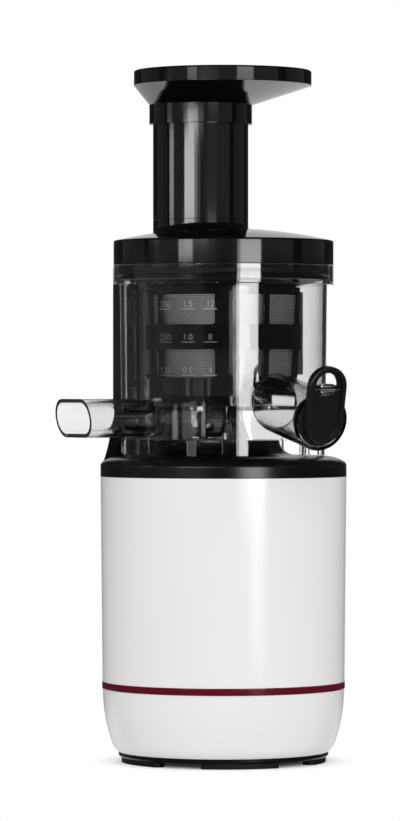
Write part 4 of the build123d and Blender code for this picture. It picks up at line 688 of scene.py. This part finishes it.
def paper_floor():
    material, tree, shader = blank("paper_matte_white")
    place = add(tree, "ShaderNodeTexCoord", {})["Object"]
    far = add(tree, "ShaderNodeVectorMath", {0: place}, operation="LENGTH")["Value"]
    fade = add(tree, "ShaderNodeMapRange", {"Value": far, "From Min": SHADOW_START, "From Max": SHADOW_END},
               interpolation_type="SMOOTHSTEP")["Result"]
    mirrored, scattered = bounces(tree)
    seen = add(tree, "ShaderNodeMix", {0: mirrored, 2: 1.0, 3: FLOOR_MIRRORED}, data_type="FLOAT")[0]
    level = add(tree, "ShaderNodeMix", {0: scattered, 2: seen, 3: FLOOR_BOUNCE}, data_type="FLOAT")[0]
    glow = add(tree, "ShaderNodeEmission", {"Color": linear("#ffffff"), "Strength": level})["Emission"]
    feed(shader, {"Base Color": linear("#fafaf9"), "Roughness": 0.9})
    mix = add(tree, "ShaderNodeMixShader", {0: fade, 1: shader.outputs["BSDF"], 2: glow})["Shader"]
    feed(tree.nodes["Material Output"], {"Surface": mix})
    material.cycles.emission_sampling = "NONE"
    return material


def floor_disc():
    turn = [2 * math.pi * i / FLOOR_SIDES for i in range(FLOOR_SIDES)]
    mesh = bpy.data.meshes.new("studio_floor")
    corners = [(FLOOR_R * math.cos(a), FLOOR_R * math.sin(a), 0) for a in turn]
    mesh.from_pydata(corners, [], [range(FLOOR_SIDES)])
    mesh.materials.append(paper_floor())
    floor = bpy.data.objects.new("studio_floor", mesh)
    floor.visible_glossy = False
    bpy.context.scene.collection.objects.link(floor)


floor_disc()


# Softboxes: strips and panels on a circle round the machine, nearly all seen in polished surfaces alone.
# Angles count from the camera, positive to its right, and heights are in metres above the floor.
# Only the fill behind the machine lights matt surfaces. Their even light comes from the surround.
VIEW_AZIMUTH = 28.0
AWAY = Vector((math.sin(math.radians(VIEW_AZIMUTH)), math.cos(math.radians(VIEW_AZIMUTH)), 0))
ACROSS = Vector((AWAY.y, -AWAY.x, 0))
PANEL_DISTANCE = 1.0


def softbox(name, left_deg, right_deg, low, high, radiance, polished=True):
    middle = math.radians((left_deg + right_deg) / 2)
    width = 2 * PANEL_DISTANCE * math.tan(math.radians((right_deg - left_deg) / 2))
    toward = -AWAY * math.cos(middle) + ACROSS * math.sin(middle)
    light = bpy.data.lights.new(name, "AREA")
    light.shape = "RECTANGLE"
    light.size = width
    light.size_y = high - low
    light.energy = radiance * math.pi * width * (high - low)
    lamp = bpy.data.objects.new(name, light)
    lamp.location = toward * PANEL_DISTANCE + Vector((0, 0, (low + high) / 2))
    lamp.rotation_euler = toward.to_track_quat("Z", "Y").to_euler()
    lamp.visible_camera = False
    lamp.visible_diffuse = not polished
    lamp.visible_glossy = polished
    lamp.visible_transmission = polished
    bpy.context.scene.collection.objects.link(lamp)


softbox("lid_left", -46, -31, 0.331, 0.355, 6.0)
softbox("bowl_left", -106, -58, 0.13, 0.335, 0.1)
softbox("bowl_middle", -58, -22, 0.13, 0.335, 0.06)
softbox("bowl_edge", 14, 17, 0.13, 0.357, 3.5)
softbox("bowl_right", 17, 38, 0.13, 0.357, 7.5)
softbox("bowl_foot_left", -58, -52, 0.17, 0.196, 1.6)
softbox("bowl_foot_middle", -46, -30, 0.17, 0.196, 0.6)
softbox("bowl_foot_right", -24, -20, 0.17, 0.196, 1.6)
softbox("rim_left", -45, -33, 0.476, 0.52, 2.4)
softbox("rim_right", 18, 39, 0.476, 0.52, 3.5)
softbox("tube_left", -81, -69, 0.36, 0.445, 4.0)
softbox("tube_key", -40, -16, 0.36, 0.445, 10.0)
softbox("tube_fade", -16, -9, 0.36, 0.445, 3.0)
softbox("tube_end", -9, -2, 0.36, 0.445, 0.8)
softbox("collar_left", -81, -69, 0.445, 0.474, 0.6)
softbox("collar_edge", -36, -30, 0.445, 0.46, 2.0)
softbox("collar_key", -30, -6, 0.445, 0.46, 10.0)
softbox("collar_fade", -6, 6, 0.445, 0.46, 2.5)
softbox("upper_left", -75, -8, 0.331, 0.52, 0.24)
softbox("upper_middle", -8, 8, 0.331, 0.52, 0.16)
softbox("upper_right", 8, 75, 0.331, 0.52, 0.24)
softbox("side_left", -128, -88, 0.331, 0.52, 0.12)
softbox("side_right", 88, 128, 0.331, 0.52, 0.12)
softbox("housing_right", 25, 37, 0.0, 0.165, 2.5)
softbox("rear_fill", 165, 195, 0.0, 0.5, 2.5, polished=False)


# Surround: white to the camera, and to matt surfaces a broad light that is strongest from its side.
# Polished surfaces see a dark room, with the backdrop behind the machine and a glow from the table.
FRONT_LIGHT = 1.62
REAR_LIGHT = 0.43
KEY_LEAN = 0.12
ROOM = 0.03
BACKDROP = 0.75
FLOOR_GLOW = 0.65


def surround():
    world = bpy.data.worlds.new("studio")
    bpy.context.scene.world = world
    world.use_nodes = True
    tree = world.node_tree
    toward = add(tree, "ShaderNodeTexCoord", {})["Generated"]
    key = (AWAY - KEY_LEAN * ACROSS).normalized()
    depth = add(tree, "ShaderNodeVectorMath", {0: toward, 1: key}, operation="DOT_PRODUCT")["Value"]
    even = add(tree, "ShaderNodeMapRange", {
        "Value": depth, "From Min": -1.0, "From Max": 0.08, "To Min": FRONT_LIGHT, "To Max": REAR_LIGHT,
    })["Result"]
    level = add(tree, "ShaderNodeVectorMath", {0: toward, 1: (1, 1, 0)}, operation="MULTIPLY")["Vector"]
    heading = add(tree, "ShaderNodeVectorMath", {0: level}, operation="NORMALIZE")["Vector"]
    behind = add(tree, "ShaderNodeVectorMath", {0: heading, 1: AWAY}, operation="DOT_PRODUCT")["Value"]
    backdrop = add(tree, "ShaderNodeMapRange", {
        "Value": behind, "From Min": 0.972, "From Max": 0.992, "To Max": BACKDROP,
    }, interpolation_type="SMOOTHSTEP")["Result"]
    height = add(tree, "ShaderNodeSeparateXYZ", {"Vector": toward})["Z"]
    down = add(tree, "ShaderNodeMapRange", {
        "Value": height, "From Min": -0.2, "From Max": -0.06, "To Min": FLOOR_GLOW, "To Max": 0.0,
    }, interpolation_type="SMOOTHSTEP")["Result"]
    rear = add(tree, "ShaderNodeMapRange", {
        "Value": depth, "From Min": 0.5, "From Max": 0.85,
    }, interpolation_type="SMOOTHSTEP")["Result"]
    table = add(tree, "ShaderNodeMath", {0: down, 1: rear}, operation="MULTIPLY")["Value"]
    walls = add(tree, "ShaderNodeMath", {0: ROOM, 1: backdrop}, operation="MAXIMUM")["Value"]
    polished = add(tree, "ShaderNodeMath", {0: walls, 1: table}, operation="MAXIMUM")["Value"]
    mirrored, scattered = bounces(tree)
    sharp = add(tree, "ShaderNodeMix", {0: mirrored, 2: 1.0, 3: polished}, data_type="FLOAT")[0]
    strength = add(tree, "ShaderNodeMix", {0: scattered, 2: sharp, 3: even}, data_type="FLOAT")[0]
    feed(tree.nodes["Background"], {"Color": linear("#ffffff"), "Strength": strength})
    world.cycles.sampling_method = "NONE"


surround()
bpy.context.scene.view_settings.view_transform = "Standard"


# Camera: level, on a long lens, with the machine a little right of the middle and below it.
# The lens is shifted and not tilted, so upright edges stay upright in the picture.
CAMERA_DISTANCE = 2.67
CAMERA_HEIGHT = 0.228
PICTURE_TALL_PX = 821
FOCAL_PX = 4374
AXIS_RIGHT_PX = 23.5
HORIZON_UP_PX = 23.2
SENSOR_MM = 36.0
camera = bpy.data.cameras.new("camera")
camera.sensor_fit = "VERTICAL"
camera.sensor_height = SENSOR_MM
camera.lens = FOCAL_PX / PICTURE_TALL_PX * SENSOR_MM
camera.shift_x = -AXIS_RIGHT_PX / PICTURE_TALL_PX
camera.shift_y = -HORIZON_UP_PX / PICTURE_TALL_PX
camera.clip_end = 50
viewer = bpy.data.objects.new("camera", camera)
viewer.location = -AWAY * CAMERA_DISTANCE + Vector((0, 0, CAMERA_HEIGHT))
viewer.rotation_euler = (math.pi / 2, 0, -math.radians(VIEW_AZIMUTH))
bpy.context.scene.collection.objects.link(viewer)
bpy.context.scene.camera = viewer
